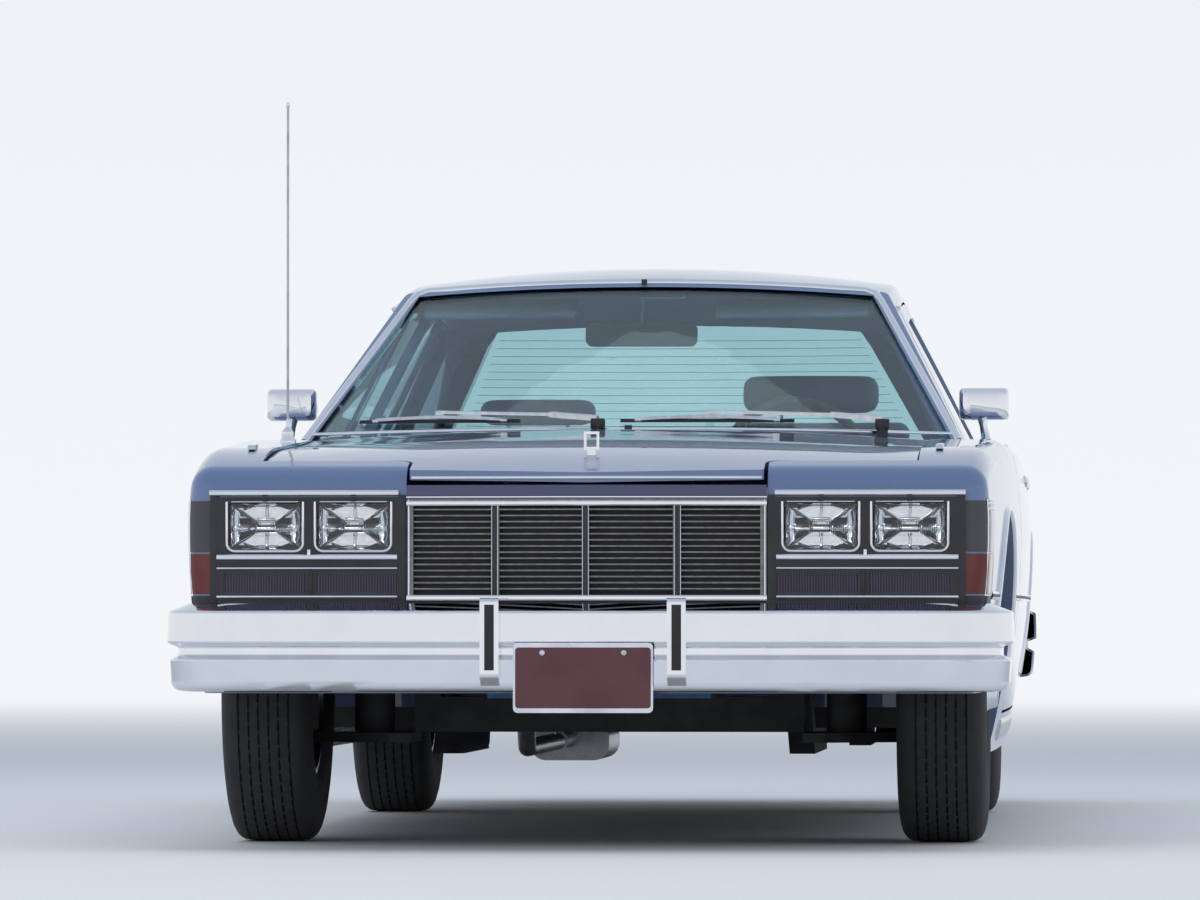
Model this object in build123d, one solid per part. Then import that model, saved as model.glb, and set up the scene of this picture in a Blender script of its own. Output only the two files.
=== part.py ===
from build123d import *
from math import acos, asin, cos, pi, radians, sin, sqrt, tan
import os

# A four-door midsize sedan of the late nineteen-seventies, in millimetres.
# Frame: the nose faces -Y, +X is the car's left side (the driver's), +Z is up, and the
# origin is on the ground under the middle of the car.

# Overall size and axles
HALF_LENGTH = 2605.0          # from the origin to the front of the bumper guards
HALF_WIDTH = 937.0            # at the crease along the flank
ROOF_TOP = 1393.0
AXLE_Z = 342.0
FRONT_AXLE_Y = -1650.0
REAR_AXLE_Y = 1213.0
FRONT_TRACK_HALF = 762.0
REAR_TRACK_HALF = 743.0

# Lower body
FLANK_RADIUS = 52000.0        # bow of the flank seen from above
FLANK_MIDDLE_Y = 0.0
SILL_BOTTOM = 195.0
SILL_TOP = 284.0
CREASE_Z = 720.0
BELT_Z = 925.0
NOSE_Y = -2465.0
TAIL_Y = 2468.0
NOSE_EDGE_Z = 785.0           # where the nose starts to round over
NOSE_ROUND = 60.0
SHOULDER_ROUND = 50.0
COWL_SLOPE = 2.5              # degrees that the fender tops climb
WALL = 26.0                   # fender and quarter panel with their stiffening
DOOR_WALL = 90.0
LID_WALL = 22.0
FLOOR_WALL = 12.0
DOOR_STEP = 14.0              # how far the door's inner box stops short of its skin

# Shut lines and clearances
DOOR_GAP = 7.0
LID_GAP = 5.0
LID_HINGE_GAP = 7.5           # ahead of the trunk lid, where its front edge turns
SEAM = 0.3                    # between curved pieces that lie against each other

# Openings in the body side, as places along Y
HINGE_PILLAR_Y = -905.0
B_POST_Y = 160.0
REAR_DOOR_END_Y = 1068.0
DOOR_BOTTOM_Z = SILL_TOP + DOOR_GAP
FRONT_ARCH_RADIUS = 408.0
REAR_ARCH_RADIUS = 385.0
REAR_DOOR_ARCH_RADIUS = REAR_ARCH_RADIUS + 60.0

# Hood and trunk lid
HOOD_HALF_WIDTH = 718.0
HOOD_REAR_Y = -1152.0
HOOD_FRONT_Y = -2362.0
HOOD_TONGUE_HALF_WIDTH = 388.0
HOOD_CROWN = 31.0
LID_HALF_WIDTH = 694.0
LID_FRONT_Y = 1836.0
LID_LOWER_Z = 806.0

# Greenhouse: corner and middle points low down and high up
GLASS_LOW_Z = 900.0
GLASS_HIGH_Z = 1320.0
ROOF_BOW_X = 4200.0           # radius of the roof seen from the front
ROOF_BOW_Y = 5200.0           # radius of the roof seen from the side
ROOF_MIDDLE_Y = 400.0
ROOF_EDGE_ROUND = 26.0
FRAME_WALL = 16.0             # window frame of a door
PILLAR_WALL = 45.0
STOP_INSET = 22.0             # outer face of the flange that a door shuts against
GLASS_INSET = 6.0
GLASS_WALL = 5.0
B_POST_INSET = 40.0
FRAME_FACE = 34.0             # width of a window frame seen from the side
FRAME_SWING = 5.0             # more room behind the front frame, which swings back as its door opens
RAIL_PEAK_Z = 1302.0
RAIL_PEAK_Y = 430.0
RAIL_DROP = 8.55e-5
C_POST_GAP = 13.0

# Nose: lamps, grille and header
GRILLE_HALF_WIDTH = 402.0
GRILLE_BOTTOM = 548.0
GRILLE_TOP = 770.0
GRILLE_ROWS = 14
GRILLE_BAR = 3.2
GRILLE_DEPTH = 24.0
GRILLE_DIVIDER = 14.0
PROW = 37.0                   # how far the middle of the grille stands forward
HEADER_TOP = 806.0
POD_INNER_X = 408.0
POD_OUTER_X = 820.0
LAMP_BAY_BOTTOM = 548.0
LAMP_BAY_TOP = 774.0
LAMP_BAY_OUTER_X = 812.0
BEZEL_STAND = 12.0
HEADLAMP_X = (512.0, 706.0)
HEADLAMP_Z = 710.0
HEADLAMP_SIZE = (160.0, 102.0)
TURN_LAMP_X = (504.0, 706.0)
TURN_LAMP_Z = 585.0
TURN_LAMP_SIZE = (182.0, 46.0)
MARKER_Z = (556.0, 770.0)
MARKER_Y = (-2440.0, -2300.0)
NOSE_LOWER_Z = 345.0

# Bumpers
BUMPER_HALF_WIDTH = 930.0
BUMPER_CORNER = 150.0
BUMPER_FRONT_BOW = 7280.0
BUMPER_FACE = HALF_LENGTH - 22.0
BUMPER_END = 2190.0
BUMPER_WALL = 6.0
BUMPER_BACK = 42.0            # from the face to the channel's open back
GUARD_X = (183.0, 224.0)
GUARD_Z = (362.0, 553.0)
BUMPER_PROFILE = (            # inward from the face, height, corner radius
    (46.0, 541.0, 0.0),
    (2.0, 524.0, 8.0),
    (0.0, 455.0, 5.0),
    (24.0, 446.0, 4.0),
    (24.0, 428.0, 4.0),
    (6.0, 419.0, 5.0),
    (10.0, 352.0, 22.0),
    (46.0, 348.0, 0.0),
)

# Wheels
TYRE_RADIUS = AXLE_Z
TYRE_HALF_WIDTH = 102.0
RIM_RADIUS = 190.0
RIM_HALF_WIDTH = 85.0
HUB_BORE = 17.0
SPINDLE_CLEARANCE = 0.3
STEER_AXIS_X = 690.0

# Door hinges
HINGE_BACK = 55.0             # from a door's leading edge to its hinge line
HINGE_IN = 14.0               # from the crease to the hinge line
FRONT_HINGE_X = 915.0
REAR_HINGE_X = HALF_WIDTH - HINGE_IN
HINGE_PIN = 6.0
HINGE_STRAP = 15.0            # half the height of a hinge's fixed strap
HINGE_HEIGHTS = (610.0, 775.0)    # where the flank is wide enough to cover them

# Cabin
FLOOR_TOP = 262.0
FIREWALL_Y = -1045.0
STEERING_HUB = (366.0, -234.0, 875.0)
STEERING_TILT = 22.0
STEERING_WHEEL_RADIUS = 190.0

os.makedirs("parts", exist_ok=True)

AXES = {"x": (1, 0, 0), "y": (0, 1, 0), "z": (0, 0, 1)}


def place(normal, at, a, b):
    """A point of a flat outline: (y, z) on an x plane, (x, z) on a y plane, (x, y) on z."""
    if normal == "x":
        return Vector(at, a, b)
    if normal == "y":
        return Vector(a, at, b)
    return Vector(a, b, at)


def outline(normal, at, corners):
    """A closed face from (a, b) or (a, b, radius) corners, each radius an arc."""
    spots = [place(normal, at, c[0], c[1]) for c in corners]
    radii = [c[2] if len(c) > 2 else 0.0 for c in corners]
    count = len(spots)
    runs = []
    for i in range(count):
        here, before, after = spots[i], spots[i - 1], spots[(i + 1) % count]
        if radii[i] <= 0:
            runs.append((here, None, here))
            continue
        back = (before - here).normalized()
        ahead = (after - here).normalized()
        half = acos(max(-1.0, min(1.0, back.dot(ahead)))) / 2
        reach = radii[i] / tan(half)
        middle = here + (back + ahead).normalized() * (radii[i] / sin(half) - radii[i])
        runs.append((here + back * reach, middle, here + ahead * reach))
    edges = []
    for i in range(count):
        start, middle, end = runs[i]
        if middle is not None:
            edges.append(ThreePointArc(start, middle, end))
        follow = runs[(i + 1) % count][0]
        if (follow - end).length > 1e-6:
            edges.append(Line(end, follow))
    return make_face(edges)


def prism(normal, low, high, corners):
    """The outline pushed along its normal from low to high."""
    return extrude(outline(normal, low, corners), amount=high - low, dir=AXES[normal])


def box(x, y, z):
    """A block from three (low, high) pairs."""
    size = (x[1] - x[0], y[1] - y[0], z[1] - z[0])
    centre = ((x[0] + x[1]) / 2, (y[0] + y[1]) / 2, (z[0] + z[1]) / 2)
    return Pos(*centre) * Box(*size)


def rod(start, end, radius):
    """A round bar between two points."""
    a, b = Vector(*start), Vector(*end)
    plane = Plane(origin=a, z_dir=(b - a))
    return extrude(plane * Circle(radius), amount=(b - a).length, dir=(b - a).normalized())


def drum(x, y, z, radius):
    """A cylinder along X from a (low, high) pair."""
    return rod((x[0], y, z), (x[1], y, z), radius)


def other_side(shape):
    return mirror(shape, about=Plane.YZ)


def both(shape):
    """The piece and its mirror image, as one node."""
    return Compound(children=solids_of(shape) + solids_of(other_side(shape)))


def solids_of(*shapes):
    found = []
    for shape in shapes:
        found += list(shape.solids())
    return found


def save(name, *shapes):
    pieces = solids_of(*shapes)
    made = pieces[0] if len(pieces) == 1 else Compound(children=pieces)
    export_step(made, "parts/" + name + ".step")


# Master surface of the lower body

FLANK_SECTION = (             # half-width at a height
    ("sill", 868.0, SILL_BOTTOM),
    ("belly", 924.0, 500.0),
    ("crease", HALF_WIDTH, CREASE_Z),
    ("window sill", 926.0, 850.0),
    ("top", 896.0, 1000.0),
)


def flank(inset):
    """The body between its two bowed flanks, as a solid cut from below."""
    far = -1300.0
    y = FLANK_MIDDLE_Y
    sill, belly, crease, upper, top = [Vector(x - inset, y, z) for _, x, z in FLANK_SECTION]
    sill = sill + Vector(0, 0, inset)
    low, high = Vector(far, y, sill.Z), Vector(far, y, top.Z)
    edges = [
        Line(low, sill),
        ThreePointArc(sill, belly, crease),
        ThreePointArc(crease, upper, top),
        Line(top, high),
        Line(high, low),
    ]
    axis = Axis((HALF_WIDTH - FLANK_RADIUS, y, 0), (0, 0, 1))
    sweep_angle = 6.4
    start = make_face(edges).rotate(axis, -sweep_angle / 2)
    return revolve(start, axis=axis, revolution_arc=sweep_angle)


def nose_line():
    """Points of the fender top's side view: front round, hood slope and belt."""
    start_slope = 14.0
    turn = radians(90 + start_slope)
    round_end = Vector(0, NOSE_Y + NOSE_ROUND + NOSE_ROUND * cos(turn), NOSE_EDGE_Z + NOSE_ROUND * sin(turn))
    half = radians((90 + start_slope + 180) / 2)
    round_mid = Vector(0, NOSE_Y + NOSE_ROUND + NOSE_ROUND * cos(half), NOSE_EDGE_Z + NOSE_ROUND * sin(half))
    run = 327.0
    steep, flat = radians(start_slope), radians(COWL_SLOPE)
    radius = run / (sin(steep) - sin(flat))
    centre = Vector(0, round_end.Y + radius * sin(steep), round_end.Z - radius * cos(steep))
    middle = (steep + flat) / 2
    slope_mid = centre + Vector(0, -radius * sin(middle), radius * cos(middle))
    slope_end = centre + Vector(0, -radius * sin(flat), radius * cos(flat))
    return round_mid, round_end, slope_mid, slope_end


NOSE_POINTS = nose_line()


def fender_height(y):
    """Height of the fender top at a place along the car, ahead of the doors."""
    slope_end = NOSE_POINTS[3]
    return slope_end.Z + (y - slope_end.Y) * tan(radians(COWL_SLOPE))


COWL_Y = NOSE_POINTS[3].Y + (BELT_Z - NOSE_POINTS[3].Z) / tan(radians(COWL_SLOPE))
DECK_Y = (1100.0, 1770.0, TAIL_Y - 78.0)
DECK_Z = (BELT_Z, 917.0, 896.0)
TAIL_ROUND = 60.0


def silhouette(inset):
    """The body's side view pushed across the car, its walls moved in by the inset."""
    round_mid, round_end, slope_mid, slope_end = NOSE_POINTS

    def spot(y, z, into_y, into_z):
        return Vector(-1100, y + into_y * inset, z + into_z * inset)

    a = spot(NOSE_Y, SILL_BOTTOM, 1, 1)
    b = spot(NOSE_Y, NOSE_EDGE_Z, 1, 0)
    c = spot(round_mid.Y, round_mid.Z, 0.72, -0.72)
    d = spot(round_end.Y, round_end.Z, 0.24, -1)
    e = spot(slope_mid.Y, slope_mid.Z, 0.14, -1)
    f = spot(slope_end.Y, slope_end.Z, 0.04, -1)
    g = spot(COWL_Y, BELT_Z, 0, -1)
    h = spot(DECK_Y[0], DECK_Z[0], 0, -1)
    i = spot(DECK_Y[1], DECK_Z[1], 0, -1)
    j = spot(DECK_Y[2], DECK_Z[2], 0, -1)
    k = spot(TAIL_Y - TAIL_ROUND * 0.3, DECK_Z[2] - TAIL_ROUND * 0.42, -0.7, -0.7)
    m = spot(TAIL_Y, DECK_Z[2] - TAIL_ROUND * 1.5, -1, 0)
    n = spot(TAIL_Y, SILL_BOTTOM, -1, 1)
    edges = [
        Line(a, b), ThreePointArc(b, c, d), ThreePointArc(d, e, f), Line(f, g), Line(g, h),
        ThreePointArc(h, i, j), ThreePointArc(j, k, m), Line(m, n), Line(n, a),
    ]
    return extrude(make_face(edges), amount=2200, dir=(1, 0, 0))


def lower_body(inset, rounded=True):
    """The closed lower body, moved in by the inset, with its shoulders rounded."""
    side = flank(inset)
    block = side & other_side(side) & silhouette(inset)
    if not rounded:
        return block
    radius = max(SHOULDER_ROUND - inset, 4.0)
    long_edges = []
    for edge in block.edges():
        middle = edge.center()
        on_flank = abs(middle.X) > 700
        on_top = middle.Z > 800
        at_nose = middle.Y < NOSE_Y + inset + 1 and abs(middle.Z - 490) < 200
        at_tail = middle.Y > TAIL_Y - inset - 1 and abs(middle.Z - 490) < 200
        straight_up = abs(edge.bounding_box().size.Z) > 100
        if on_flank and (on_top or ((at_nose or at_tail) and straight_up)):
            long_edges.append(edge)
    return fillet(long_edges, radius)


# Master surface of the greenhouse

CABIN_PLAN = (                # where, then x and y low down, x and y high up, inward x and y
    ("front corner", 806.0, -942.0, 587.0, -238.0, -1.05, 2.0),
    ("front middle", 0.0, -1097.0, 0.0, -363.0, 0.0, 2.0),
    ("side middle", 822.0, 320.0, 612.0, 440.0, -1.12, 0.0),
    ("rear corner", 745.0, 1620.0, 575.0, 1150.0, -1.05, -1.6),
    ("rear middle", 0.0, 1780.0, 0.0, 1215.0, 0.0, -1.6),
)


def cabin_spot(index, z, inset):
    _, low_x, low_y, high_x, high_y, in_x, in_y = CABIN_PLAN[index]
    share = (z - GLASS_LOW_Z) / (GLASS_HIGH_Z - GLASS_LOW_Z)
    x = low_x + (high_x - low_x) * share + in_x * inset
    y = low_y + (high_y - low_y) * share + in_y * inset
    return Vector(x, y, z)


def cabin_section(z, inset):
    corner, middle, side, rear, rear_middle = [cabin_spot(i, z, inset) for i in range(5)]

    def left(v):
        return Vector(-v.X, v.Y, v.Z)

    return make_face([
        ThreePointArc(left(corner), middle, corner),
        ThreePointArc(corner, side, rear),
        ThreePointArc(rear, rear_middle, left(rear)),
        ThreePointArc(left(rear), left(side), left(corner)),
    ])


def roof_crown(inset):
    """Everything under the bowed roof."""
    top = ROOF_TOP - inset
    half = 830.0
    drop = ROOF_BOW_X - sqrt(ROOF_BOW_X ** 2 - half ** 2)
    y = ROOF_MIDDLE_Y
    edges = [
        ThreePointArc(Vector(-half, y, top - drop), Vector(0, y, top), Vector(half, y, top - drop)),
        Line(Vector(half, y, top - drop), Vector(half, y, 600)),
        Line(Vector(half, y, 600), Vector(-half, y, 600)),
        Line(Vector(-half, y, 600), Vector(-half, y, top - drop)),
    ]
    axis = Axis((0, y, top - ROOF_BOW_Y), (1, 0, 0))
    sweep_angle = 34.0
    start = make_face(edges).rotate(axis, -sweep_angle / 2)
    return revolve(start, axis=axis, revolution_arc=sweep_angle)


def greenhouse(inset, rounded=False):
    """The cabin above the belt, moved in by the inset."""
    low, high = 820.0, 1440.0
    shape = loft([cabin_section(low, inset), cabin_section(high, inset)], ruled=True)
    shape = shape & roof_crown(inset)
    if not rounded:
        return shape
    rim = [edge for edge in shape.edges() if edge.center().Z > 1280]
    return fillet(rim, ROOF_EDGE_ROUND)


BODY = lower_body(0.0)
BODY_IN_WALL = lower_body(WALL)
BODY_IN_LID = lower_body(LID_WALL)
BODY_IN_DOOR = lower_body(DOOR_WALL, rounded=False)
CABIN = greenhouse(0.0, rounded=True)
CABIN_IN_FRAME = greenhouse(FRAME_WALL)
CABIN_IN_STOP = greenhouse(STOP_INSET)
CABIN_IN_PILLAR = greenhouse(PILLAR_WALL)
CABIN_AT_GLASS = greenhouse(GLASS_INSET)
CABIN_IN_GLASS = greenhouse(GLASS_INSET + GLASS_WALL)

BODY_SKIN = BODY - BODY_IN_WALL
LID_SKIN = BODY - BODY_IN_LID
FRAME_SKIN = CABIN - CABIN_IN_FRAME
GLASS_SKIN = CABIN_AT_GLASS - CABIN_IN_GLASS

# Side view of the door openings

SIDE_NEAR = 560.0
SIDE_FAR = 1000.0
PILLAR_LOW_Y = CABIN_PLAN[0][2]
PILLAR_SLOPE = (CABIN_PLAN[0][4] - PILLAR_LOW_Y) / (GLASS_HIGH_Z - GLASS_LOW_Z)


def pillar_y(z, behind):
    """The A-post's line in the side view, a given distance behind the glass corner."""
    return PILLAR_LOW_Y + behind + PILLAR_SLOPE * (z - GLASS_LOW_Z)


def rail_z(y, below=0.0):
    """Top of the window frames at a place along the car."""
    return RAIL_PEAK_Z - RAIL_DROP * (y - RAIL_PEAK_Y) ** 2 - below


def side_face(points, top_arc):
    """A side-view outline whose top edge, from one point to the next, is an arc."""
    edges = []
    count = len(points)
    for i in range(count):
        a, b = points[i], points[(i + 1) % count]
        start, end = Vector(SIDE_NEAR, *a), Vector(SIDE_NEAR, *b)
        if i == top_arc:
            middle_y = (a[0] + b[0]) / 2
            lift = rail_z(middle_y) - (rail_z(a[0]) + rail_z(b[0])) / 2
            middle = Vector(SIDE_NEAR, middle_y, (a[1] + b[1]) / 2 + lift)
            edges.append(ThreePointArc(start, middle, end))
        else:
            edges.append(Line(start, end))
    return extrude(make_face(edges), amount=SIDE_FAR - SIDE_NEAR, dir=(1, 0, 0))


A_POST_WIDTH = 92.0           # along the car, from the glass corner to the front door frame


def front_frame(grow):
    """The front door's window frame, grown on every side."""
    slant = grow * sqrt(1 + PILLAR_SLOPE ** 2)
    y0 = pillar_y(BELT_Z, A_POST_WIDTH - slant)
    z1 = rail_z(-228.0, -grow)
    y1 = pillar_y(z1, A_POST_WIDTH - slant)
    y2 = B_POST_Y - DOOR_GAP - FRAME_SWING + grow
    return [(y0, BELT_Z), (y1, z1), (y2, rail_z(y2, -grow)), (y2, BELT_Z)]


def rear_frame(grow):
    """The rear door's window frame, grown on every side."""
    y0 = B_POST_Y + DOOR_GAP - grow
    y1 = REAR_DOOR_END_Y - 90.0 + grow
    return [(y0, BELT_Z), (y0, rail_z(y0, -grow)), (y1, rail_z(y1, -grow)), (REAR_DOOR_END_Y + grow, BELT_Z)]


def door_aperture(grow, grow_rear):
    """One outline round both window frames."""
    front, rear = front_frame(grow), rear_frame(grow)
    back = rear_frame(grow_rear)
    low = 860.0
    return [(front[0][0], low), front[0], front[1], (back[2][0], rear[2][1]), back[3], (back[3][0], low)]


def arch(y, radius, x=(400.0, 1000.0)):
    return drum(x, y, AXLE_Z, radius)


FRONT_ARCH = arch(FRONT_AXLE_Y, FRONT_ARCH_RADIUS)
REAR_ARCH = arch(REAR_AXLE_Y, REAR_ARCH_RADIUS)
LOW_ARCH_Z = (0.0, AXLE_Z)


def lower_door(y0, y1, inset, cut_radius):
    """The part of a door below the belt, in the side view."""
    shape = prism("x", 700.0, SIDE_FAR, [
        (y0 + inset, DOOR_BOTTOM_Z + inset, 14), (y1 - inset, DOOR_BOTTOM_Z + inset, 14),
        (y1 - inset, 1000), (y0 + inset, 1000)])
    if cut_radius:
        shape = shape - drum((600.0, 1100.0), REAR_AXLE_Y, AXLE_Z, cut_radius + inset)
        reach = sqrt((cut_radius + inset) ** 2 - (DOOR_BOTTOM_Z - AXLE_Z) ** 2)
        shape = shape - box((600, 1100), (REAR_AXLE_Y - reach, 1400), (0, AXLE_Z - 20))
    return shape


DOOR_INNER_X = 775.0
SHELF_X = {"front": 860.0, "rear": 895.0}    # where a door's shelf starts to narrow at its rear edge
SHELF_SLOPE = 0.106           # so that its inner corner swings past the next panel
DOOR_SPANS = {
    "front": (HINGE_PILLAR_Y, B_POST_Y - DOOR_GAP / 2, 0.0),
    "rear": (B_POST_Y + DOOR_GAP / 2, REAR_DOOR_END_Y, REAR_DOOR_ARCH_RADIUS),
}


def door_shell(end):
    """Skin and inner box of a door up to the belt."""
    y0, y1, cut = DOOR_SPANS[end]
    outside = box((DOOR_INNER_X, SIDE_FAR), (-1200, 1400), (200, 1000))
    skin = BODY_SKIN & lower_door(y0, y1, 0.0, cut) & outside
    core = (BODY_IN_WALL - BODY_IN_DOOR) & lower_door(y0, y1, DOOR_STEP, cut) & outside
    near, far = 700.0, SHELF_X[end]
    relief = prism("z", BELT_Z - 2 * WALL, BELT_Z + 5, [
        (far, y1), (far, y1 + 30), (near, y1 + 30), (near, y1 - (far - near) * SHELF_SLOPE)])
    return skin + core - relief


HINGES = {
    "front": (FRONT_HINGE_X, HINGE_PILLAR_Y + HINGE_BACK),
    "rear": (REAR_HINGE_X, B_POST_Y + DOOR_GAP / 2 + HINGE_BACK),
}


def hinge_strap(end, post_x, foot_y):
    """The fixed half of a door's hinges: two pins, each on a strap from the post."""
    x, y = HINGES[end]
    pieces = []
    for z in HINGE_HEIGHTS:
        height = (z - HINGE_STRAP, z + HINGE_STRAP)
        pin = rod((x, y, z - 34), (x, y, z + 34), HINGE_PIN)
        arm = box((post_x, x), (y - 5, y + 5), height)
        foot = box((post_x, post_x + 34), (foot_y, y + 5), height)
        pieces.append(pin + arm + foot)
    return pieces


def door(end):
    frame_outline = front_frame(0.0) if end == "front" else rear_frame(0.0)
    window = window_outline(end)
    frame = FRAME_SKIN & side_face(frame_outline, 1)
    for hole in window:
        frame = frame - hole
    shell = door_shell(end)
    x, y = HINGES[end]
    for z in HINGE_HEIGHTS:
        shell = shell - rod((x, y, z - 37), (x, y, z + 37), HINGE_PIN + SEAM)
        pocket = (z - HINGE_STRAP - 3, z + HINGE_STRAP + 3)
        shell = shell - box((700, x + 7), (y - HINGE_BACK - 20, y + 60), pocket)
    return shell + frame


DIVISION_BAR = (845.0, 866.0)


def window_outline(end):
    """Solids that cut a door's window, one for each pane."""
    if end == "front":
        return [side_face(front_frame(-FRAME_FACE), 1)]
    y0, y1 = rear_frame(-FRAME_FACE)[0][0], rear_frame(-FRAME_FACE)[2][0]
    whole = side_face(rear_frame(-FRAME_FACE), 1)
    low, high = DIVISION_BAR
    main = whole & box((500, 1100), (y0 - 50, low), (800, 1400))
    vent = whole & box((500, 1100), (high, y1 + 200), (800, 1400))
    return [main, vent]


def door_glass(end):
    panes = []
    for hole in window_outline(end):
        panes += list((GLASS_SKIN & hole).solids())
    return panes


FRONT_DOOR = door("front")
REAR_DOOR = door("rear")
for side, turn in (("left", lambda s: s), ("right", other_side)):
    save("door_front_" + side, turn(FRONT_DOOR))
    save("door_rear_" + side, turn(REAR_DOOR))
    save("glass_front_" + side, *[turn(pane) for pane in door_glass("front")])
    save("glass_rear_" + side, *[turn(pane) for pane in door_glass("rear")])

# Roof with its posts, cut for the doors and the two big windows

WINDSHIELD = (768.0, 925.0, 558.0, 1300.0, 1320.0)
BACKLIGHT = (672.0, 925.0, 482.0, 1270.0, 1286.0)


def front_view_hole(spec, y0, y1):
    low_x, low_z, high_x, high_z, top_z = spec
    low = low_z - 60
    spread = (low_x - high_x) / (high_z - low_z)
    x0 = low_x + spread * 60
    edges = [
        Line(Vector(-x0, y0, low), Vector(-high_x, y0, high_z)),
        ThreePointArc(Vector(-high_x, y0, high_z), Vector(0, y0, top_z), Vector(high_x, y0, high_z)),
        Line(Vector(high_x, y0, high_z), Vector(x0, y0, low)),
        Line(Vector(x0, y0, low), Vector(-x0, y0, low)),
    ]
    return extrude(make_face(edges), amount=y1 - y0, dir=(0, 1, 0))


WINDSHIELD_HOLE = front_view_hole(WINDSHIELD, -1400.0, -100.0)
BACKLIGHT_HOLE = front_view_hole(BACKLIGHT, 1000.0, 2000.0)

outer_hole = side_face(door_aperture(DOOR_GAP, C_POST_GAP), 2)
inner_hole = side_face(door_aperture(-FRAME_FACE + 10, -FRAME_FACE + 10), 2)
outer_hole = outer_hole - CABIN_IN_STOP
roof = CABIN - CABIN_IN_PILLAR - WINDSHIELD_HOLE - BACKLIGHT_HOLE
for hole in (outer_hole, inner_hole, other_side(outer_hole), other_side(inner_hole)):
    roof = roof - hole
roof = roof - BODY
save("roof", max(roof.solids(), key=lambda s: s.volume))
save("windshield", (GLASS_SKIN & WINDSHIELD_HOLE) - BODY)
save("rear_window", (GLASS_SKIN & BACKLIGHT_HOLE) - BODY)

# B-posts, behind the seam between the doors
B_POST_SPAN = (B_POST_Y - 48.0, B_POST_Y + 52.0)
B_POST_X = (722.0, 757.0)
B_POST_TOP_X = 560.0
upper_post = greenhouse(B_POST_INSET) - greenhouse(B_POST_INSET + 32)
upper_post = upper_post & prism("x", 500.0, 900.0, [
    (B_POST_SPAN[0], BELT_Z), (B_POST_SPAN[1], BELT_Z), (B_POST_SPAN[1], 1500), (B_POST_SPAN[0], 1500)])
upper_post = upper_post - (CABIN - CABIN_IN_PILLAR)
upper_post = upper_post & box((B_POST_TOP_X, 900), B_POST_SPAN, (BELT_Z, 1345))
b_post = box(B_POST_X, B_POST_SPAN, (FLOOR_TOP, BELT_Z)) + max(upper_post.solids(), key=lambda s: s.volume)
for strap in hinge_strap("rear", B_POST_X[1], B_POST_SPAN[1] - 30):
    b_post = b_post + strap
A_POST_X = (700.0, 766.0)
A_POST_SPAN = (FIREWALL_Y, HINGE_PILLAR_Y - DOOR_GAP - 3)
a_post = box(A_POST_X, A_POST_SPAN, (335.0, BELT_Z - WALL - 9))
for strap in hinge_strap("front", A_POST_X[1], A_POST_SPAN[1] - 30):
    a_post = a_post + strap
save("door_posts", both(a_post), both(b_post))

# Front fenders, quarter panels and sills

fender_region = prism("z", 0.0, 1100.0, [
    (HOOD_HALF_WIDTH + LID_GAP, HINGE_PILLAR_Y - DOOR_GAP), (1100, HINGE_PILLAR_Y - DOOR_GAP),
    (1100, NOSE_Y - 20), (POD_OUTER_X, NOSE_Y - 20), (POD_OUTER_X, HOOD_FRONT_Y - LID_GAP),
    (HOOD_HALF_WIDTH + LID_GAP, HOOD_FRONT_Y - LID_GAP)])
marker_region = box((POD_OUTER_X, 1100), MARKER_Y, MARKER_Z)
fender = BODY_SKIN & fender_region
fender = fender - FRONT_ARCH - box((400, 1000), (FRONT_AXLE_Y - FRONT_ARCH_RADIUS, FRONT_AXLE_Y + FRONT_ARCH_RADIUS),
                                  LOW_ARCH_Z)
fender = fender - marker_region - box((600, 1100), (NOSE_Y - 40, FRONT_AXLE_Y), (0, NOSE_LOWER_Z))
fender = fender - box((600, HOOD_HALF_WIDTH + 80), (NOSE_Y + 60, -800), (0, 600))
fender = max(fender.solids(), key=lambda s: s.volume)
save("front_fenders", both(fender))

DECK_HALF_WIDTH = 700.0
TAIL_LAMP_X = 480.0
TAIL_LAMP_Z = (652.0, 776.0)
TAIL_LAMP_FRONT_Y = TAIL_Y - 98.0
TAIL_LOWER_Z = 345.0
lamp_region = box((TAIL_LAMP_X, 1100), (TAIL_LAMP_FRONT_Y, 2700), TAIL_LAMP_Z)
SILL_END_Y = REAR_AXLE_Y - REAR_DOOR_ARCH_RADIUS
quarter = BODY_SKIN & box((DECK_HALF_WIDTH, 1100), (SILL_END_Y, TAIL_Y + 20), (SILL_BOTTOM - 5, 1000))
quarter = quarter - lower_door(*DOOR_SPANS["rear"][:2], -DOOR_GAP, REAR_DOOR_ARCH_RADIUS)
quarter = quarter - REAR_ARCH - box((400, 1000), (REAR_AXLE_Y - REAR_ARCH_RADIUS, REAR_AXLE_Y + REAR_ARCH_RADIUS),
                                    LOW_ARCH_Z)
quarter = quarter - lamp_region - box((600, 1100), (REAR_AXLE_Y, TAIL_Y + 40), (0, TAIL_LOWER_Z))
quarter = quarter - box((600, DECK_HALF_WIDTH + 110), (700, TAIL_Y - 60), (0, 600))
quarter = max(quarter.solids(), key=lambda s: s.volume)
save("quarter_panels", both(quarter))

SILL_INNER_X = 772.0
sill = BODY & box((SILL_INNER_X, 1000), (HINGE_PILLAR_Y - DOOR_GAP, SILL_END_Y), (SILL_BOTTOM, SILL_TOP))
save("sills", both(sill))

# Corner markers and tail lamps follow the skin
marker = (BODY - BODY_IN_WALL) & marker_region
tail_lamp = BODY_SKIN & lamp_region
corner_marker = max(marker.solids(), key=lambda s: s.volume)
save("tail_lamps", both(max(tail_lamp.solids(), key=lambda s: s.volume)))

# Hood: a crowned panel whose tongue runs forward between the lamp pods

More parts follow.
